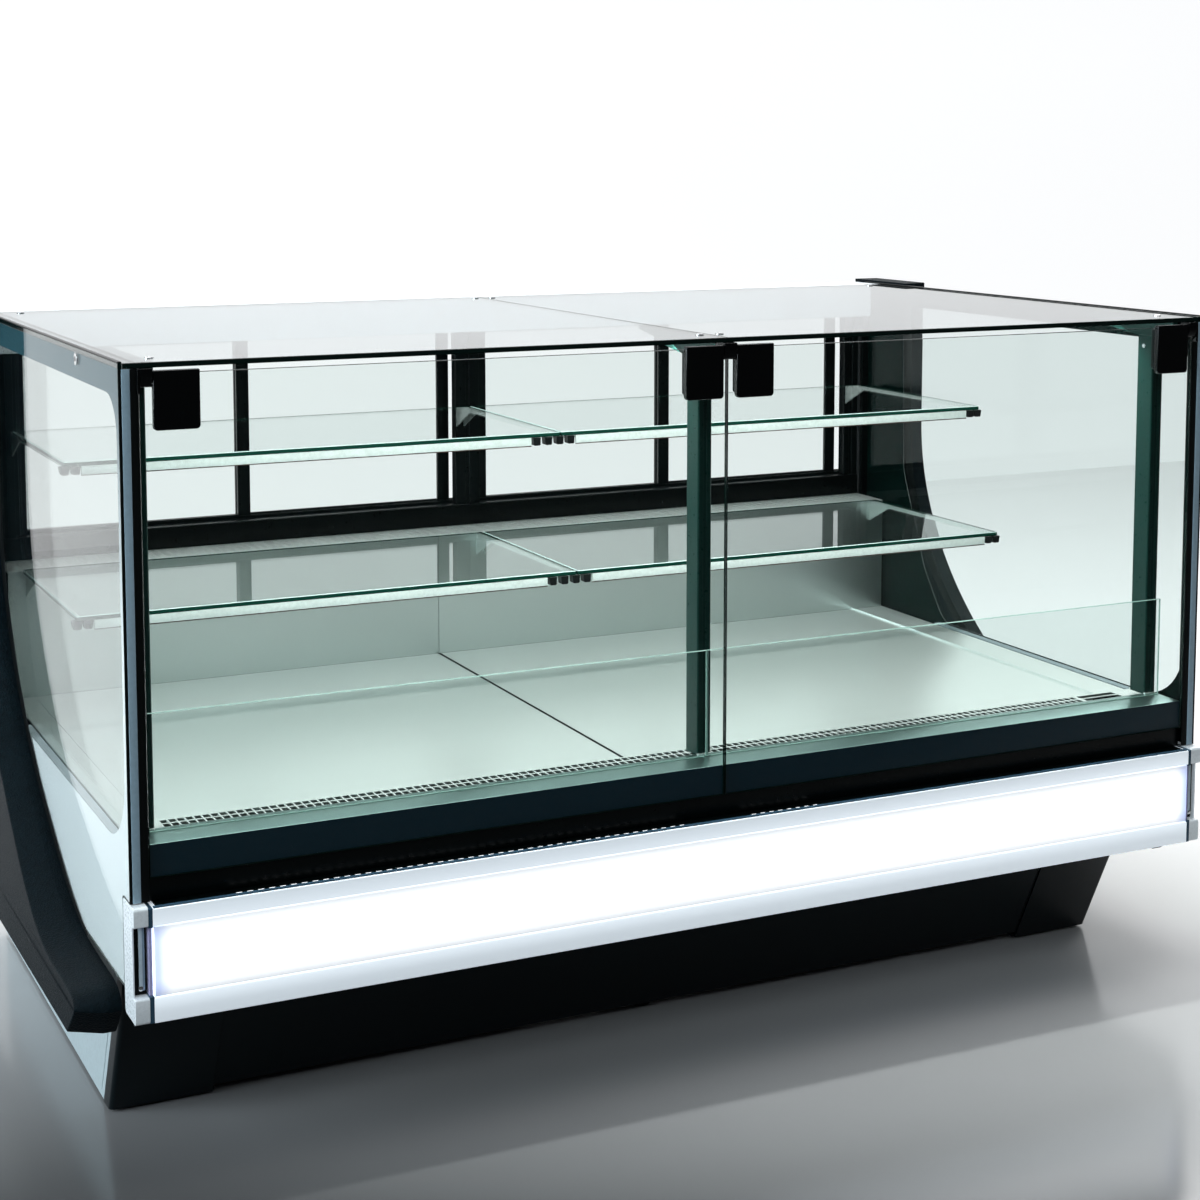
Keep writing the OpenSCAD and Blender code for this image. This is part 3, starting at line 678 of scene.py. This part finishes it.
def arms():
    curve = [Vector((back(y), z)) for y, z in arm_curve()]
    count = len(curve)
    face, crease_top, crease_foot = 19, 56, 71  # widths of the flat face and of the crease
    foot_z, wide_z = 200, 440  # the crease widens between these heights
    setback, rear = 8, 200  # rear: a depth that means the back edge
    seal_low, seal_top = 285, CASE_TOP - 1
    normals = []
    for i in range(count):
        tangent = (curve[min(i + 1, count - 1)] - curve[max(i - 1, 0)]).normalized()
        normals.append(Vector((-tangent.y, tangent.x)))
    for sign, side in SIDES:
        verts = []
        for point, normal in zip(curve, normals):
            share = max(0, min(1, (wide_z - point.y) / (wide_z - foot_z)))
            wide = crease_top + (crease_foot - crease_top) * share
            section = rounded([(0, rear), (0, 0), (face, 0), (wide, setback + 4 * share), (wide, rear)],
                              [0, 1.6, 3.5, 3, 0], 4)
            for x, depth in section:
                at = point + normal * depth if depth < rear / 2 else Vector((BACK_Y, point.y))
                verts.append((sign * (OUTER_X + x), min(at.x, BACK_Y), max(at.y, foot_z)))
        ring, total = len(section), len(verts)
        faces = loft_faces(count, ring) + [tuple(range(ring)), tuple(range(total - ring, total))]
        make("arm_moulding_" + side, verts, faces, [ARM], stands_for="arm_" + side)
        # rubber seal along the arm's inner front edge, lying on the outer pane
        run = [p for p in curve if seal_low < p.y < seal_top]
        run = [Vector((run[0].x, seal_top))] + run
        seal = [(sign * (OUTER_X + x), point.x + ahead, point.y) for point in run
                for x, ahead in ((0.1, 0), (1.4, 0), (1.4, -26), (0.1, -32))]
        faces = loft_faces(len(run), 4) + [(0, 1, 2, 3), tuple(range(len(seal) - 4, len(seal)))]
        make("arm_seal_" + side, seal, faces, [RUBBER], smooth=False)


# ---- bumper ----
def bumper():
    lo, hi = box_of("bumper_frame")
    p_lo, p_hi = box_of("bumper_light_panel")
    c_lo, c_hi = box_of("bumper_end_caps")
    front, top, low = lo.y, hi.z, lo.z
    upper = [(front, p_hi.z), (front, top), (back(16), top), (back(16), p_hi.z - 4),
             (back(12), p_hi.z - 4), (back(12), p_hi.z)]
    lower = [(front, low), (front, p_lo.z), (back(12), p_lo.z), (back(12), p_lo.z + 4),
             (back(16), p_lo.z + 4), (back(16), low)]
    profile = Parts()
    profile.prism(rounded(upper, [2, 2, 2, 0, 0, 0], 4), on_x, lo.x, hi.x)
    profile.prism(rounded(lower, [2, 2, 0, 0, 0, 2], 4), on_x, lo.x, hi.x)
    profile.box((lo.x + 2, back(14), p_lo.z), (hi.x - 2, back(17), p_hi.z))
    profile.piece("bumper_profile", [WHITE_LIT], "bumper_frame")
    liner = Parts()
    for x0, x1 in ((lo.x - 6.6, lo.x + 0.4), (hi.x - 0.4, hi.x + 6.6)):
        liner.box((x0, front + 0.1, low + 0.5), (x1, back(20), p_lo.z + 2))
        liner.box((x0, front + 0.1, p_hi.z - 2), (x1, back(20), top + 0.5))
        liner.box((x0 + 1, front + 5, p_lo.z + 1.8), (x1 - 1, back(20), p_hi.z - 1.8), 1)
    liner.piece("bumper_end_liner", [STEP, LILAC], soft=0.8)
    opal = rounded([(p_lo.y - 1.4, p_lo.z + 1), (p_lo.y - 1.4, p_hi.z - 1),
                    (p_hi.y, p_hi.z), (p_hi.y, p_lo.z)], [2, 2, 0, 0], 4)
    Parts().prism(opal, on_x, p_lo.x, p_hi.x).piece("bumper_diffuser", [LIT], "bumper_light_panel")
    # air slots in the ledge above the bumper, closed over a stretch in the middle
    marks, opened = slot_cells(-HALF_W + 124, 60, 16.5, 9.5, HALF_W - 5, -HALF_W + 5)
    closed_from, closed_to = -HALF_W + 850, -HALF_W + 981
    holes = {(i, 1) for i in opened if not closed_from < marks[i] < closed_to}
    depths = [front + 3, back(-11), back(-6), back(14)]
    ledge = slotted(Parts(), marks, depths, holes, top + 0.3, top + 1.3)
    ledge.piece("bumper_air_ledge", [BLACK], smooth=False)
    lip = Parts().box((-HALF_W + 1, front + 1.5, top - 0.5), (HALF_W - 1, back(-12), top + 1.9))
    lip.piece("bumper_ledge_lip", [STEP], soft=0.5)
    glow = Parts().box((-HALF_W + 100, back(-14), top + 0.05), (marks[-2], back(-5), top + 0.2))
    glow.piece("bumper_slot_glow", [SLOT_GLOW])
    caps = Parts()
    x0, x1 = HALF_W + 7, c_hi.x
    y0, y1 = c_lo.y, c_hi.y
    caps.prism(rounded(rect(y0, p_hi.z, y1, c_hi.z), [3, 6, 6, 0], 5), on_x, x0, x1)
    caps.prism(rounded(rect(y0, c_lo.z, y1, p_lo.z), [5, 3, 0, 8], 5), on_x, x0, x1)
    caps.box((x0, back(32), p_lo.z - 2), (x1, y1, p_hi.z + 2))
    caps.box((x1 - 3, back(-8), p_lo.z - 2), (x1, back(33), p_hi.z + 2))
    caps.mirrored().piece("bumper_cap_shells", [WHITE_CAP], "bumper_end_caps", soft=1.2)
    # the side unit's edge strips, seen in the mouth of each cap; the pale band along the blue strip's outer
    # edge is a painted highlight
    strips = Parts()
    mouth, outer = HALF_W + 8, OUTER_X - 4
    for a, b, proud, slot in ((mouth, HALF_W + 10.5, 5, 2), (HALF_W + 10.6, HALF_W + 14, 6, 0),
                              (HALF_W + 14.1, HALF_W + 19, 7, 1), (HALF_W + 19.1, outer, 3, 2)):
        strips.box((a, back(-proud), p_lo.z + 8), (b, back(6), p_hi.z - 1), slot)
    strips.box((mouth, back(-2), p_lo.z + 1), (outer, back(6), p_lo.z + 8), 2)
    strips.mirrored().piece("side_unit_edge_strips", [STRIP, STRIP_PAINTED_HIGHLIGHT, RUBBER], soft=0.6)
    screws = Parts()
    for sign, _ in SIDES:
        screws.disc((sign * (OUTER_X - 12), back(-6), p_lo.z + 12), 3.5, 2, (0, -1, 0))
    screws.piece("cap_screws", [CHROME])


# ---- base ----
def base():
    lean, front_floor = 0.48, 269  # slope of the front, its depth at the floor
    foot, x_out = box_of("base_corners")[0].z, box_of("base_corners")[1].x
    leg_in = x_out - 164
    tub = box_of("insulated_tub")[0].z
    back_edge = box_of("base_side_right")[1].y

    def front(z, behind=0):
        return back(front_floor + behind) - lean * z

    def slope(behind, z0, z1, deeper):
        """An outline that follows the leaning front, from one depth behind it to a deeper one."""
        return [(front(z, depth), z) for z, depth in
                ((z0, behind), (z0, deeper), (z1, deeper), (z1, behind))]

    # wrap-round corner panels: front leg with a rounded vertical edge, then the side return
    for sign, side in SIDES:
        plan = rounded([(leg_in, 0), (x_out, 0), (x_out, 39)], [0, 9, 0], 8)
        inside = [(x - 4 if x > leg_in + 0.001 else x, y + 4) for x, y in plan]
        loop = plan + list(reversed(inside))
        n = len(loop)
        verts = [(sign * x, front(z) + y, z) for z in (foot, tub) for x, y in loop]
        faces = [tuple(range(n)), tuple(range(n, 2 * n))] + loft_faces(2, n)
        make("base_leg_" + side, verts, faces, [DARK], stands_for=once(sign, "base_corners"))
        panel = Parts()
        for edge, ahead, z0, z1, a, b in ((0, 40, foot, tub, 1.2, 5.5),
                                          (20, 60, foot + 12, tub - 20, 0.2, 2)):
            panel.prism([(front(z0, ahead), z0), (back_edge - edge, z0), (back_edge - edge, z1),
                         (front(z1, ahead), z1)], on_x, sign * (x_out - a), sign * (x_out - b))
        panel.piece("base_side_panel_" + side, [SIDE], "base_side_" + side, soft=1)
    # centre panel between the legs, a little behind them, with a stiffening fold
    lift, inner_x = 17, leg_in - 1
    shell = Parts()
    shell.prism(slope(3, lift, tub, 8), on_x, -inner_x, inner_x)
    shell.prism(slope(8, lift, lift + 5, 34), on_x, -inner_x, inner_x)
    for sign, _ in SIDES:
        shell.prism(slope(4, foot, foot + 5, 30), on_x, *span(leg_in - 4, x_out - 12, sign))
    shell.piece("base_plinth", [DARK], "base_front_panel", soft=0.8)
    feet = Parts()
    f_lo, f_hi = box_of("levelling_feet")
    up = (0, 0, 1)
    for x in (f_lo.x + 20, 0, f_hi.x - 20):
        for y in (f_lo.y + 20, f_hi.y - 20):
            feet.disc((x, y, 0), 20, 9, up, 0, 32, 0.3)
            feet.disc((x, y, 8.9), 10, 4, up, 1, 6, 0.15)
            for turn in range(3):
                feet.disc((x, y, 12.8 + 2.3 * turn), 6, 2.3, up, 1, 20, 0.25)
    feet.piece("foot_assemblies", [PLASTIC, CHROME], "levelling_feet")


# ---- hinges, posts, brackets ----
def hinges():
    for sign, side in SIDES:
        cover, plates, screws = Parts(), Parts(), Parts()
        _, front, low = box_of("hinge_blocks_" + side)[0]
        top, low = CASE_TOP - 11, low + 1
        for a, b in ((12, 79), (HALF_W - 85, HALF_W - 18)):
            x0, x1 = span(a, b, sign)
            cover.prism(rounded(rect(x0, top, x1, low), [2, 6, 6, 2], 6), on_y, front, GLASS_Y - 0.1)
            inset = rounded(rect(x0 + 4, top - 7, x1 - 4, low + 7), [4] * 4, 4)
            plates.prism(inset, on_y, back(6.1), back(14))
            for z in (low + 22, top - 24):
                screws.disc(((x0 + x1) / 2, back(13.9), z), 5, 2.2, (0, 1, 0))
        body = side + "_front_pane"
        cover.piece("hinge_cover_" + side, [GLOSS], "hinge_blocks_" + side, body, soft=2, segments=3)
        plates.piece("hinge_backing_" + side, [BLACK], body=body, soft=1)
        screws.piece("hinge_screws_" + side, [SCREW], body=body)
    top = box_of("hinge_brackets")[1].z
    knuckles = Parts()
    axis_y, axis_z, radius = back(-5), CASE_TOP - 30, 4.4
    for x0, x1 in middle_and_ends(11, 17, 0.5):
        barrel = [(axis_y + radius * math.cos(a), axis_z + radius * math.sin(a))
                  for a in [math.pi + math.pi * k / 10 for k in range(11)]]
        barrel += [(axis_y + radius, top), (axis_y - 6.9, top), (axis_y - 6.9, axis_z + 8)]
        knuckles.prism(barrel, on_x, x0, x1)
        for end in (x0 - 2, x1):
            if abs(end) < HALF_W - 2:
                knuckles.disc((end, axis_y, axis_z), 2.5, 2, (1, 0, 0), 1)
    for x0, x1 in middle_and_ends(11, 17, 0.5):
        knuckles.box((x0, back(-0.5), CASE_TOP - 13.5), (x1, back(19.8), top))
    for sign, _ in SIDES:
        x0, x1 = span(HALF_W - 0.3, HALF_W + 4, sign)
        knuckles.box((x0, back(-10.8), CASE_TOP - 43), (x1, back(-1.8), top))
    knuckles.piece("hinge_knuckles", [GLOSS, CHROME], "hinge_brackets", soft=1.2, segments=3)


def posts():
    profiles, rivets = Parts(), Parts()
    groove, deep, edge = 3, 1.6, 2
    y0, y1 = back(74), back(115)
    beam = [(back(20), CASE_TOP - 8.2), (back(20), CASE_TOP - 30), (back(26), CASE_TOP - 38),
            (back(120), CASE_TOP - 38), (back(290), CASE_TOP - 15), (back(290), CASE_TOP - 8.2)]
    for x0, x1 in middle_and_ends(12.5, 27, 2):
        middle = (x0 + x1) / 2
        section = [(x0, y0 + edge), (x0 + edge, y0), (middle - groove, y0), (middle - groove, y0 + deep),
                   (middle + groove, y0 + deep), (middle + groove, y0), (x1 - edge, y0), (x1, y0 + edge),
                   (x1, y1 - edge), (x1 - edge, y1), (x0 + edge, y1), (x0, y1 - edge)]
        profiles.prism(section, on_z, SILL_Z, CASE_TOP - 38)
        profiles.prism(beam, on_x, x0 + 1, x1 - 1)
        foot = rounded([(x0, y0 - 3), (x1, y0 - 3), (x1, y1 + 3), (x0, y1 + 3)], [3] * 4, 3)
        profiles.prism(foot, on_z, SILL_Z, SILL_Z + 3)
        for x, way in ((x0, -1), (x1, 1)):
            rivets.disc((x, back(97), CASE_TOP - 57), 4, 1.4, (way, 0, 0))
    # the foot plates are steel
    for k, face in enumerate(profiles.faces):
        if max(profiles.verts[i].z for i in face) < SILL_Z + 3.5:
            profiles.slots[k] = 1
    profiles.piece("front_post_profiles", [POST, STEEL], "front_posts", soft=0.6)
    rivets.piece("post_rivets", [CHROME])


# ---- deck ----
def deck():
    near = box_of("deck_tray_left")[0].y
    fall = DECK_Z - 17
    thick = 1.5
    for _, side in SIDES:
        lo, hi = box_of("deck_tray_" + side)
        tray = Parts()
        # the grille's last row is cut in the front of the trays
        first = math.ceil((lo.x + 6 - GRILLE_X) / GRILLE_PITCH)
        start = GRILLE_X + first * GRILLE_PITCH
        count = int((min(hi.x - 6, HALF_W - 140) - start) / GRILLE_PITCH)
        xs, open_x = slot_cells(start, count, GRILLE_PITCH, GRILLE_SLOT, hi.x, lo.x)
        ys, open_y = slot_cells(lo.y + 3, 1, GRILLE_ROW, 13, hi.y, lo.y)
        slotted(tray, xs, ys, set(product(open_x, open_y)), DECK_Z - thick, DECK_Z)
        for x0, x1 in ((lo.x, lo.x + thick), (hi.x - thick, hi.x)):
            tray.box((x0, lo.y, fall), (x1, hi.y, DECK_Z - thick * 0.5))
        for y0, y1 in ((lo.y, lo.y + thick), (hi.y - thick, hi.y)):
            tray.box((lo.x, y0, fall), (hi.x, y1, DECK_Z - thick * 0.5))
        tray.piece("deck_sheet_" + side, [STEEL], "deck_tray_" + side, soft=0.7)
    (left_end, _, _), (seam_left, far, _) = box_of("deck_tray_left")
    seam_right, tray_end = (corner.x for corner in box_of("deck_tray_right"))
    seam = Parts().box((seam_left - 1.8, near + 14, DECK_Z - 9), (seam_right + 1.8, far - 2, DECK_Z + 0.3))
    seam.piece("deck_seam_strip", [RUBBER], smooth=False)
    lo, hi = box_of("deck_end_strips")
    strips = Parts()
    strips.box((-HALF_W, lo.y, DECK_Z - 3), (left_end - 1, hi.y, DECK_Z))
    strips.box((tray_end + 1, lo.y, DECK_Z - 3), (HALF_W, hi.y, DECK_Z))
    strips.prism([(tray_end + 4, DECK_Z), (tray_end + 7, DECK_Z + 4), (tray_end + 10, DECK_Z)],
                 on_y, lo.y, hi.y)
    strips.piece("deck_end_sheets", [STEEL], "deck_end_strips", soft=0.6)
    # pressed grille: three rows of small slots, long slots at the right end
    lo, hi = box_of("air_return_grille")
    grille = Parts()
    rows, open_rows = slot_cells(back(88), 3, GRILLE_ROW, 14, hi.y, lo.y)
    right_start = HALF_W - 135
    count = int((right_start - GRILLE_X) / GRILLE_PITCH)
    for cells in (slot_cells(GRILLE_X, count, GRILLE_PITCH, GRILLE_SLOT, right_start, -HALF_W),
                  slot_cells(right_start + 6, 1, 90, 80, HALF_W, right_start)):
        xs, open_x = cells
        slotted(grille, xs, rows, set(product(open_x, open_rows)), hi.z - 1.2, hi.z)
    grille.box((-HALF_W, hi.y - 1.5, lo.z), (HALF_W, hi.y, hi.z - 1))
    grille.piece("air_return_pressing", [STEEL], "air_return_grille", smooth=False)
    # dark floor of the air channel under the slots
    well = Parts()
    for x0, y0, x1, y1 in ((-HALF_W + 2, back(87), HALF_W - 2, hi.y - 3),
                           (-HALF_W + 46, near + 2, -20, near + 20),
                           (20, near + 2, HALF_W - 140, near + 20)):
        well.box((x0, y0, DECK_Z - 8), (x1, y1, DECK_Z - 6))
    well.piece("air_return_well", [BLACK], smooth=False)
    low = box_of("front_sill")[0].z
    outline = rounded([(back(8), SILL_Z), (back(8), low), (back(14), low), (back(14), SILL_Z - 4),
                       (back(84), SILL_Z - 4), (back(84), SILL_Z)], [2, 1, 1, 0, 1, 3], 4)
    sill = Parts().prism(outline, on_x, -HALF_W, HALF_W)
    for k, face in enumerate(sill.faces):
        if min(sill.verts[i].z for i in face) < SILL_Z - 20 and len(face) == 4:
            sill.slots[k] = 1
    sill.piece("front_sill_pressing", [SILL, BLACK], "front_sill")
    recess = Parts().box((-HALF_W, back(14.2), low), (HALF_W, back(21.8), SILL_Z - 5))
    recess.piece("front_recess_panel", [BLACK])


# ---- shelves ----
def shelves():
    steel, clips, rails = Parts(), Parts(), Parts()
    ends = HALF_W - 32.5
    for tier, wall in (("upper", box_of("rear_uprights")[0].y), ("lower", WALL_Y)):
        _, near, under = box_of("shelf_panes_" + tier)[0]

        def clip(x, wide, narrowing, drop):
            top, low, foot = under - 0.4, under - drop, wide - narrowing
            return rounded([(x - wide, top), (x - foot, low), (x + foot, low), (x + wide, top)],
                           [0.5, 2, 2, 0.5], 3)

        # slim arm from the front rail to the upright, deepening to a gusset at the rear
        arm = [(near + 16, under - 0.2), (near + 16, under - 6), (wall - 75, under - 8),
               (wall, under - 45), (wall, under - 0.2)]
        for x in (-ends, SHELF_SEAM - 8, SHELF_SEAM + 8, ends):
            steel.prism(arm, on_x, x - 1.4, x + 1.4)
        for x in (-63, -40, -17, 5):
            clips.prism(clip(x, 7.5, 1.5, 15), on_y, near - 1, near + 1)
            clips.prism(clip(x, 7, 1.5, 15), on_y, near + 1, near + 16)
            clips.box((x + 5.8, near + 2, under - 14), (x + 8.2, near + 14, under - 0.6), 1)
        for x in (-HALF_W + 36, HALF_W - 36):
            for k in (-1, 1):
                clips.prism(clip(x + 9 * k, 8, 2, 14), on_y, near - 1, near + 16)
        rail = rounded([(near + 0.5, under - 0.3), (near + 0.5, under - 15), (near + 4, under - 15),
                        (near + 6, under - 4), (near + 14, under - 4), (near + 14, under - 0.3)],
                       [0.5, 1, 1, 1, 1, 0.5], 2)
        for x0, x1 in ((22 - ends, -74), (16, ends - 22)):
            rails.prism(rail, on_x, x0, x1)
            rails.box((x0, near + 0.3, under - 16.4), (x1, near + 4.4, under - 14.8), 1)
    steel.piece("shelf_arms", [STEEL], "shelf_brackets", soft=0.5)
    clips.piece("shelf_clips", [PLASTIC, CHROME], soft=0.5)
    rails.piece("shelf_edge_rails", [RAIL, RAIL_LIP], "shelf_light_profiles")


# ---- rear ----
def doors():
    stile, depth, grip_heights = 25, 10, (880, 1000)
    for i in range(1, 5):
        node, body = "rear_door_%d" % i, "door_%d" % i
        lo, hi = box_of(node)
        y0, y1 = lo.y, lo.y + depth
        in_lo, in_hi = lo.x + stile - 1, hi.x - stile + 1
        rim = Parts()
        for x0, x1 in ((lo.x, lo.x + stile), (hi.x - stile, hi.x)):
            rim.prism(rounded([(x0, y0), (x1, y0), (x1, y1), (x0, y1)], [1.5] * 4, 3), on_z, lo.z, hi.z)
        for z0, z1 in ((lo.z, lo.z + 7), (hi.z - 7, hi.z)):
            rim.box((in_lo, y0 + 1.5, z0), (in_hi, y1 - 1.5, z1))
        grip = lo.x + 8 if i in (1, 3) else hi.x - 17
        rim.prism(rounded([(grip, y1 - 0.2), (grip + 9, y1 - 0.2), (grip + 7, y1 + 2.8),
                           (grip + 2, y1 + 2.8)], [0, 0, 1, 1], 3), on_z, *grip_heights)
        rim.piece(node + "_stiles", [BLACK], node, body)
        plate(node + "_pane", (in_lo, y0 + 2.5, lo.z + 6), (in_hi, y0 + 7.5, hi.z - 6), EDGE, body)


def rear():
    lo, hi = box_of("rear_uprights")
    uprights = Parts()
    for x0, x1 in ((-HALF_W + 1, -HALF_W + 36), (-26, 26), (HALF_W - 36, HALF_W - 1)):
        middle = (x0 + x1) / 2
        uprights.prism([(x0, lo.y), (middle - 4, lo.y), (middle - 4, lo.y + 3), (middle + 4, lo.y + 3),
                        (middle + 4, lo.y), (x1, lo.y), (x1, hi.y), (x0, hi.y)], on_z, lo.z, hi.z)
    uprights.piece("rear_upright_profiles", [BLACK], "rear_uprights", soft=1.2)
    lo, hi = box_of("rear_sill_beam")
    top = hi.z - 6
    t_lo, t_hi = box_of("rear_top_rail")
    section = [(lo.y, lo.z), (lo.y, top), (hi.y, top), (hi.y, lo.z + 8), (hi.y - 8, lo.z)]
    beam = Parts().prism(rounded(section, [2, 3, 5, 3, 3], 4), on_x, -HALF_W, HALF_W)
    rail = Parts().prism(rounded(rect(t_lo.y, CASE_TOP, t_hi.y, t_lo.z + 6), [1, 2, 4, 4], 4),
                         on_x, -HALF_W, HALF_W)
    # three ribs guide the two planes of doors
    door_y = box_of("rear_door_1")[0].y
    for y in (door_y - 2, door_y + 10.5, door_y + 24.5):
        beam.box((-HALF_W, y, top - 1), (HALF_W, y + 1.5, hi.z))
        rail.box((-HALF_W, y, t_lo.z), (HALF_W, y + 1.5, t_lo.z + 7))
    beam.piece("rear_sill_profile", [BLACK], "rear_sill_beam")
    for sign, _ in SIDES:
        x0, x1 = span(HALF_W - 1, t_hi.x, sign)
        rail.box((x0, t_lo.y, CASE_TOP - 8), (x1, t_hi.y, CASE_TOP))
    rail.piece("rear_rail_profile", [WHITE], "rear_top_rail", soft=0.8)
    # outlet grille: rows of small square holes
    lo, hi = box_of("outlet_grille")
    columns = 115
    pitch = (hi.x - lo.x - 40) / columns
    xs, open_x = slot_cells(lo.x + 20, columns, pitch, pitch * 0.62, hi.x, lo.x)
    ys, open_y = slot_cells(lo.y + 12, 6, 14, 8, hi.y, lo.y)
    grille = slotted(Parts(), xs, ys, set(product(open_x, open_y)), lo.z, hi.z)
    grille.piece("outlet_grille_sheet", [STEEL], "outlet_grille", smooth=False)


def studs():
    caps, trims = Parts(), Parts()
    for x in (18, HALF_W - 30):
        for y in (back(60), box_of("top_pane_right")[1].y - 40):
            for sign, _ in SIDES:
                caps.disc((sign * x, y, CASE_TOP), 7, 2, (0, 0, 1), 0, 28, 0.35)
    for sign, _ in SIDES:
        caps.disc((sign * OUTER_X, back(268), CASE_TOP - 17), 9.5, 1.2, (sign, 0, 0), 0, 32, 0.3)
        caps.disc((sign * (OUTER_X + 1.1), back(268), CASE_TOP - 17), 4, 0.9, (sign, 0, 0), 1, 6)
        x0, x1 = span(OUTER_X - 6.3, OUTER_X - 0.1, sign)
        trims.box((x0, back(0.5), CASE_TOP + 0.05), (x1, SIDE_BACK, CASE_TOP + 2.5))
    caps.piece("stud_cap_discs", [CHROME, SCREW], "stud_caps")
    trims.piece("side_top_trims", [BLACK], soft=0.8)


def finish_cad_nodes():
    """Materials for the CAD nodes that stay as they are."""
    looks = {STEEL: ("rear_service_panel",), STEEL_UP: ("back_duct",), RED: ("power_switch",),
             DARK: ("insulated_tub",), COPPER: ("refrigerant_pipes",),
             GALVANISED: ("base_frame", "drain_tray", "evaporator_fan_plate"),
             FINS: ("condenser_coil", "evaporator_coil"),
             PLASTIC: ("compressor", "condenser_fan_shroud", "control_panel", "cable_gland"),
             PALE_PLASTIC: ("condenser_fan", "button_up", "button_down", "evaporator_fan_left",
                            "evaporator_fan_right")}
    for material, names in looks.items():
        for name in names:
            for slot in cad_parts[name].material_slots:
                slot.material = material


# ---- stage ----
def stage():
    floor_look = Look("studio_floor", (0.5, 0.5, 0.5), 0.16)
    floor_look.roughness(floor_look.noise(3, 3), 0.12, 0.18)
    # painted light and shade: the floor's colour runs from near black at the front left to white at the
    # right rear, and it glows further back
    slope = floor_look.node("ShaderNodeVectorMath", {1: (0.45, 0.75, 0)}, operation="DOT_PRODUCT")
    floor_look.link(floor_look.place(), slope.inputs[0])
    floor_look.tint(slope.outputs["Value"], (0.055, 0.057, 0.059), (0.93, 0.93, 0.93), -0.95, 0.9)
    floor_look.glows(slope.outputs["Value"], 0, 0.22, 0.9, 2.8)
    wall_look = Look("studio_backdrop", (0.2, 0.2, 0.2), 0.9, Specular_IOR_Level=0.0,
                     Emission_Color=(0.98, 0.99, 1.0, 1), Emission_Strength=0.93)
    wall_look.vary(wall_look.noise(1, 2), 0.01)
    # the floor runs back, then curves up into the backdrop
    reach, depth, rise, radius = 9.0, 4.2, 6.0, 2.0
    section = [(-7.0, 0.0), (0.0, 0.0), (depth, 0.0)]
    section += [(depth + radius * math.sin(a), radius - radius * math.cos(a))
                for a in [math.pi / 2 * k / 12 for k in range(1, 13)]]
    section.append((depth + radius, rise))
    for name, rows, look in (("studio_floor", section[:4], floor_look),
                             ("studio_backdrop", section[3:], wall_look)):
        verts = [(side * reach, y, z) for y, z in rows for side in (-1, 1)]
        faces = [(2 * i, 2 * i + 1, 2 * i + 3, 2 * i + 2) for i in range(len(rows) - 1)]
        mesh = bpy.data.meshes.new(name)
        mesh.from_pydata(verts, [], faces)
        mesh.materials.append(look.material)
        mesh.shade_smooth()
        piece = bpy.data.objects.new(name, mesh)
        bpy.context.scene.collection.objects.link(piece)


def light(name, size, power, place_at, aim, colour=(1, 1, 1), seen=True):
    data = bpy.data.lights.new(name, "AREA")
    data.shape = "RECTANGLE"
    data.size, data.size_y = size
    data.energy = power
    data.color = colour
    lamp = bpy.data.objects.new(name, data)
    lamp.visible_camera = lamp.visible_glossy = lamp.visible_transmission = seen
    bpy.context.scene.collection.objects.link(lamp)
    lamp.location = place_at
    lamp.rotation_euler = (Vector(aim) - Vector(place_at)).to_track_quat("-Z", "Y").to_euler()


def lights():
    """Pale studio: bright behind, dim behind the camera, so the black parts stay black."""
    world = bpy.data.worlds.new("studio")
    bpy.context.scene.world = world
    world.use_nodes = True
    sky = Nodes(world.node_tree)
    coords = sky.node("ShaderNodeTexCoord")
    split = sky.node("ShaderNodeSeparateXYZ")
    sky.link(coords.outputs["Generated"], split.inputs["Vector"])
    path = sky.node("ShaderNodeLightPath")
    pick = sky.node("ShaderNodeMath", operation="MAXIMUM")
    sky.link(sky.ranged(split.outputs["Y"], 0.035, 0.7, -0.2, 0.8), pick.inputs[0])
    sky.link(path.outputs["Is Camera Ray"], pick.inputs[1])
    background = sky.tree.nodes["Background"]
    background.inputs["Color"].default_value = (0.95, 0.975, 1.0, 1)
    sky.link(pick.outputs["Value"], background.inputs["Strength"])
    light("overhead", (4.5, 3.0), 150, (0.2, 0.3, 3.6), (0, 0.1, 0.6))
    light("inside_strip", (1.8, 0.03), 13, Vector((0, back(150), CASE_TOP - 30)) * MM,
          Vector((0, back(420), DECK_Z)) * MM, seen=False)
    light("front_left", (1.8, 1.8), 80, (-2.6, -4.4, 3.8), (-0.2, -0.4, 0.5), (0.86, 0.95, 1.0))
    light("left_side", (2.5, 2.0), 175, (-4.4, -0.6, 1.8), (-0.9, -0.1, 0.7), (0.80, 0.92, 1.0))
    light("right_rear", (2.5, 2.0), 60, (4.2, 1.8, 3.4), (1.0, -0.3, 0.2))


def camera():
    data = bpy.data.cameras.new("camera")
    data.lens = 65.0
    data.sensor_width = 36.0
    data.shift_y = -0.19
    data.clip_end = 100
    cam = bpy.data.objects.new("camera", data)
    bpy.context.scene.collection.objects.link(cam)
    cam.location = (-1.6595, -3.5483, 1.4962)
    cam.rotation_euler = Euler((math.radians(90 - 5.884), 0, math.radians(-25.70)))
    bpy.context.scene.camera = cam
    bpy.context.scene.view_settings.view_transform = "Standard"


camera()
stage()
lights()
glass_body()
side_units()
arms()
bumper()
base()
hinges()
posts()
deck()
shelves()
doors()
rear()
studs()
finish_cad_nodes()
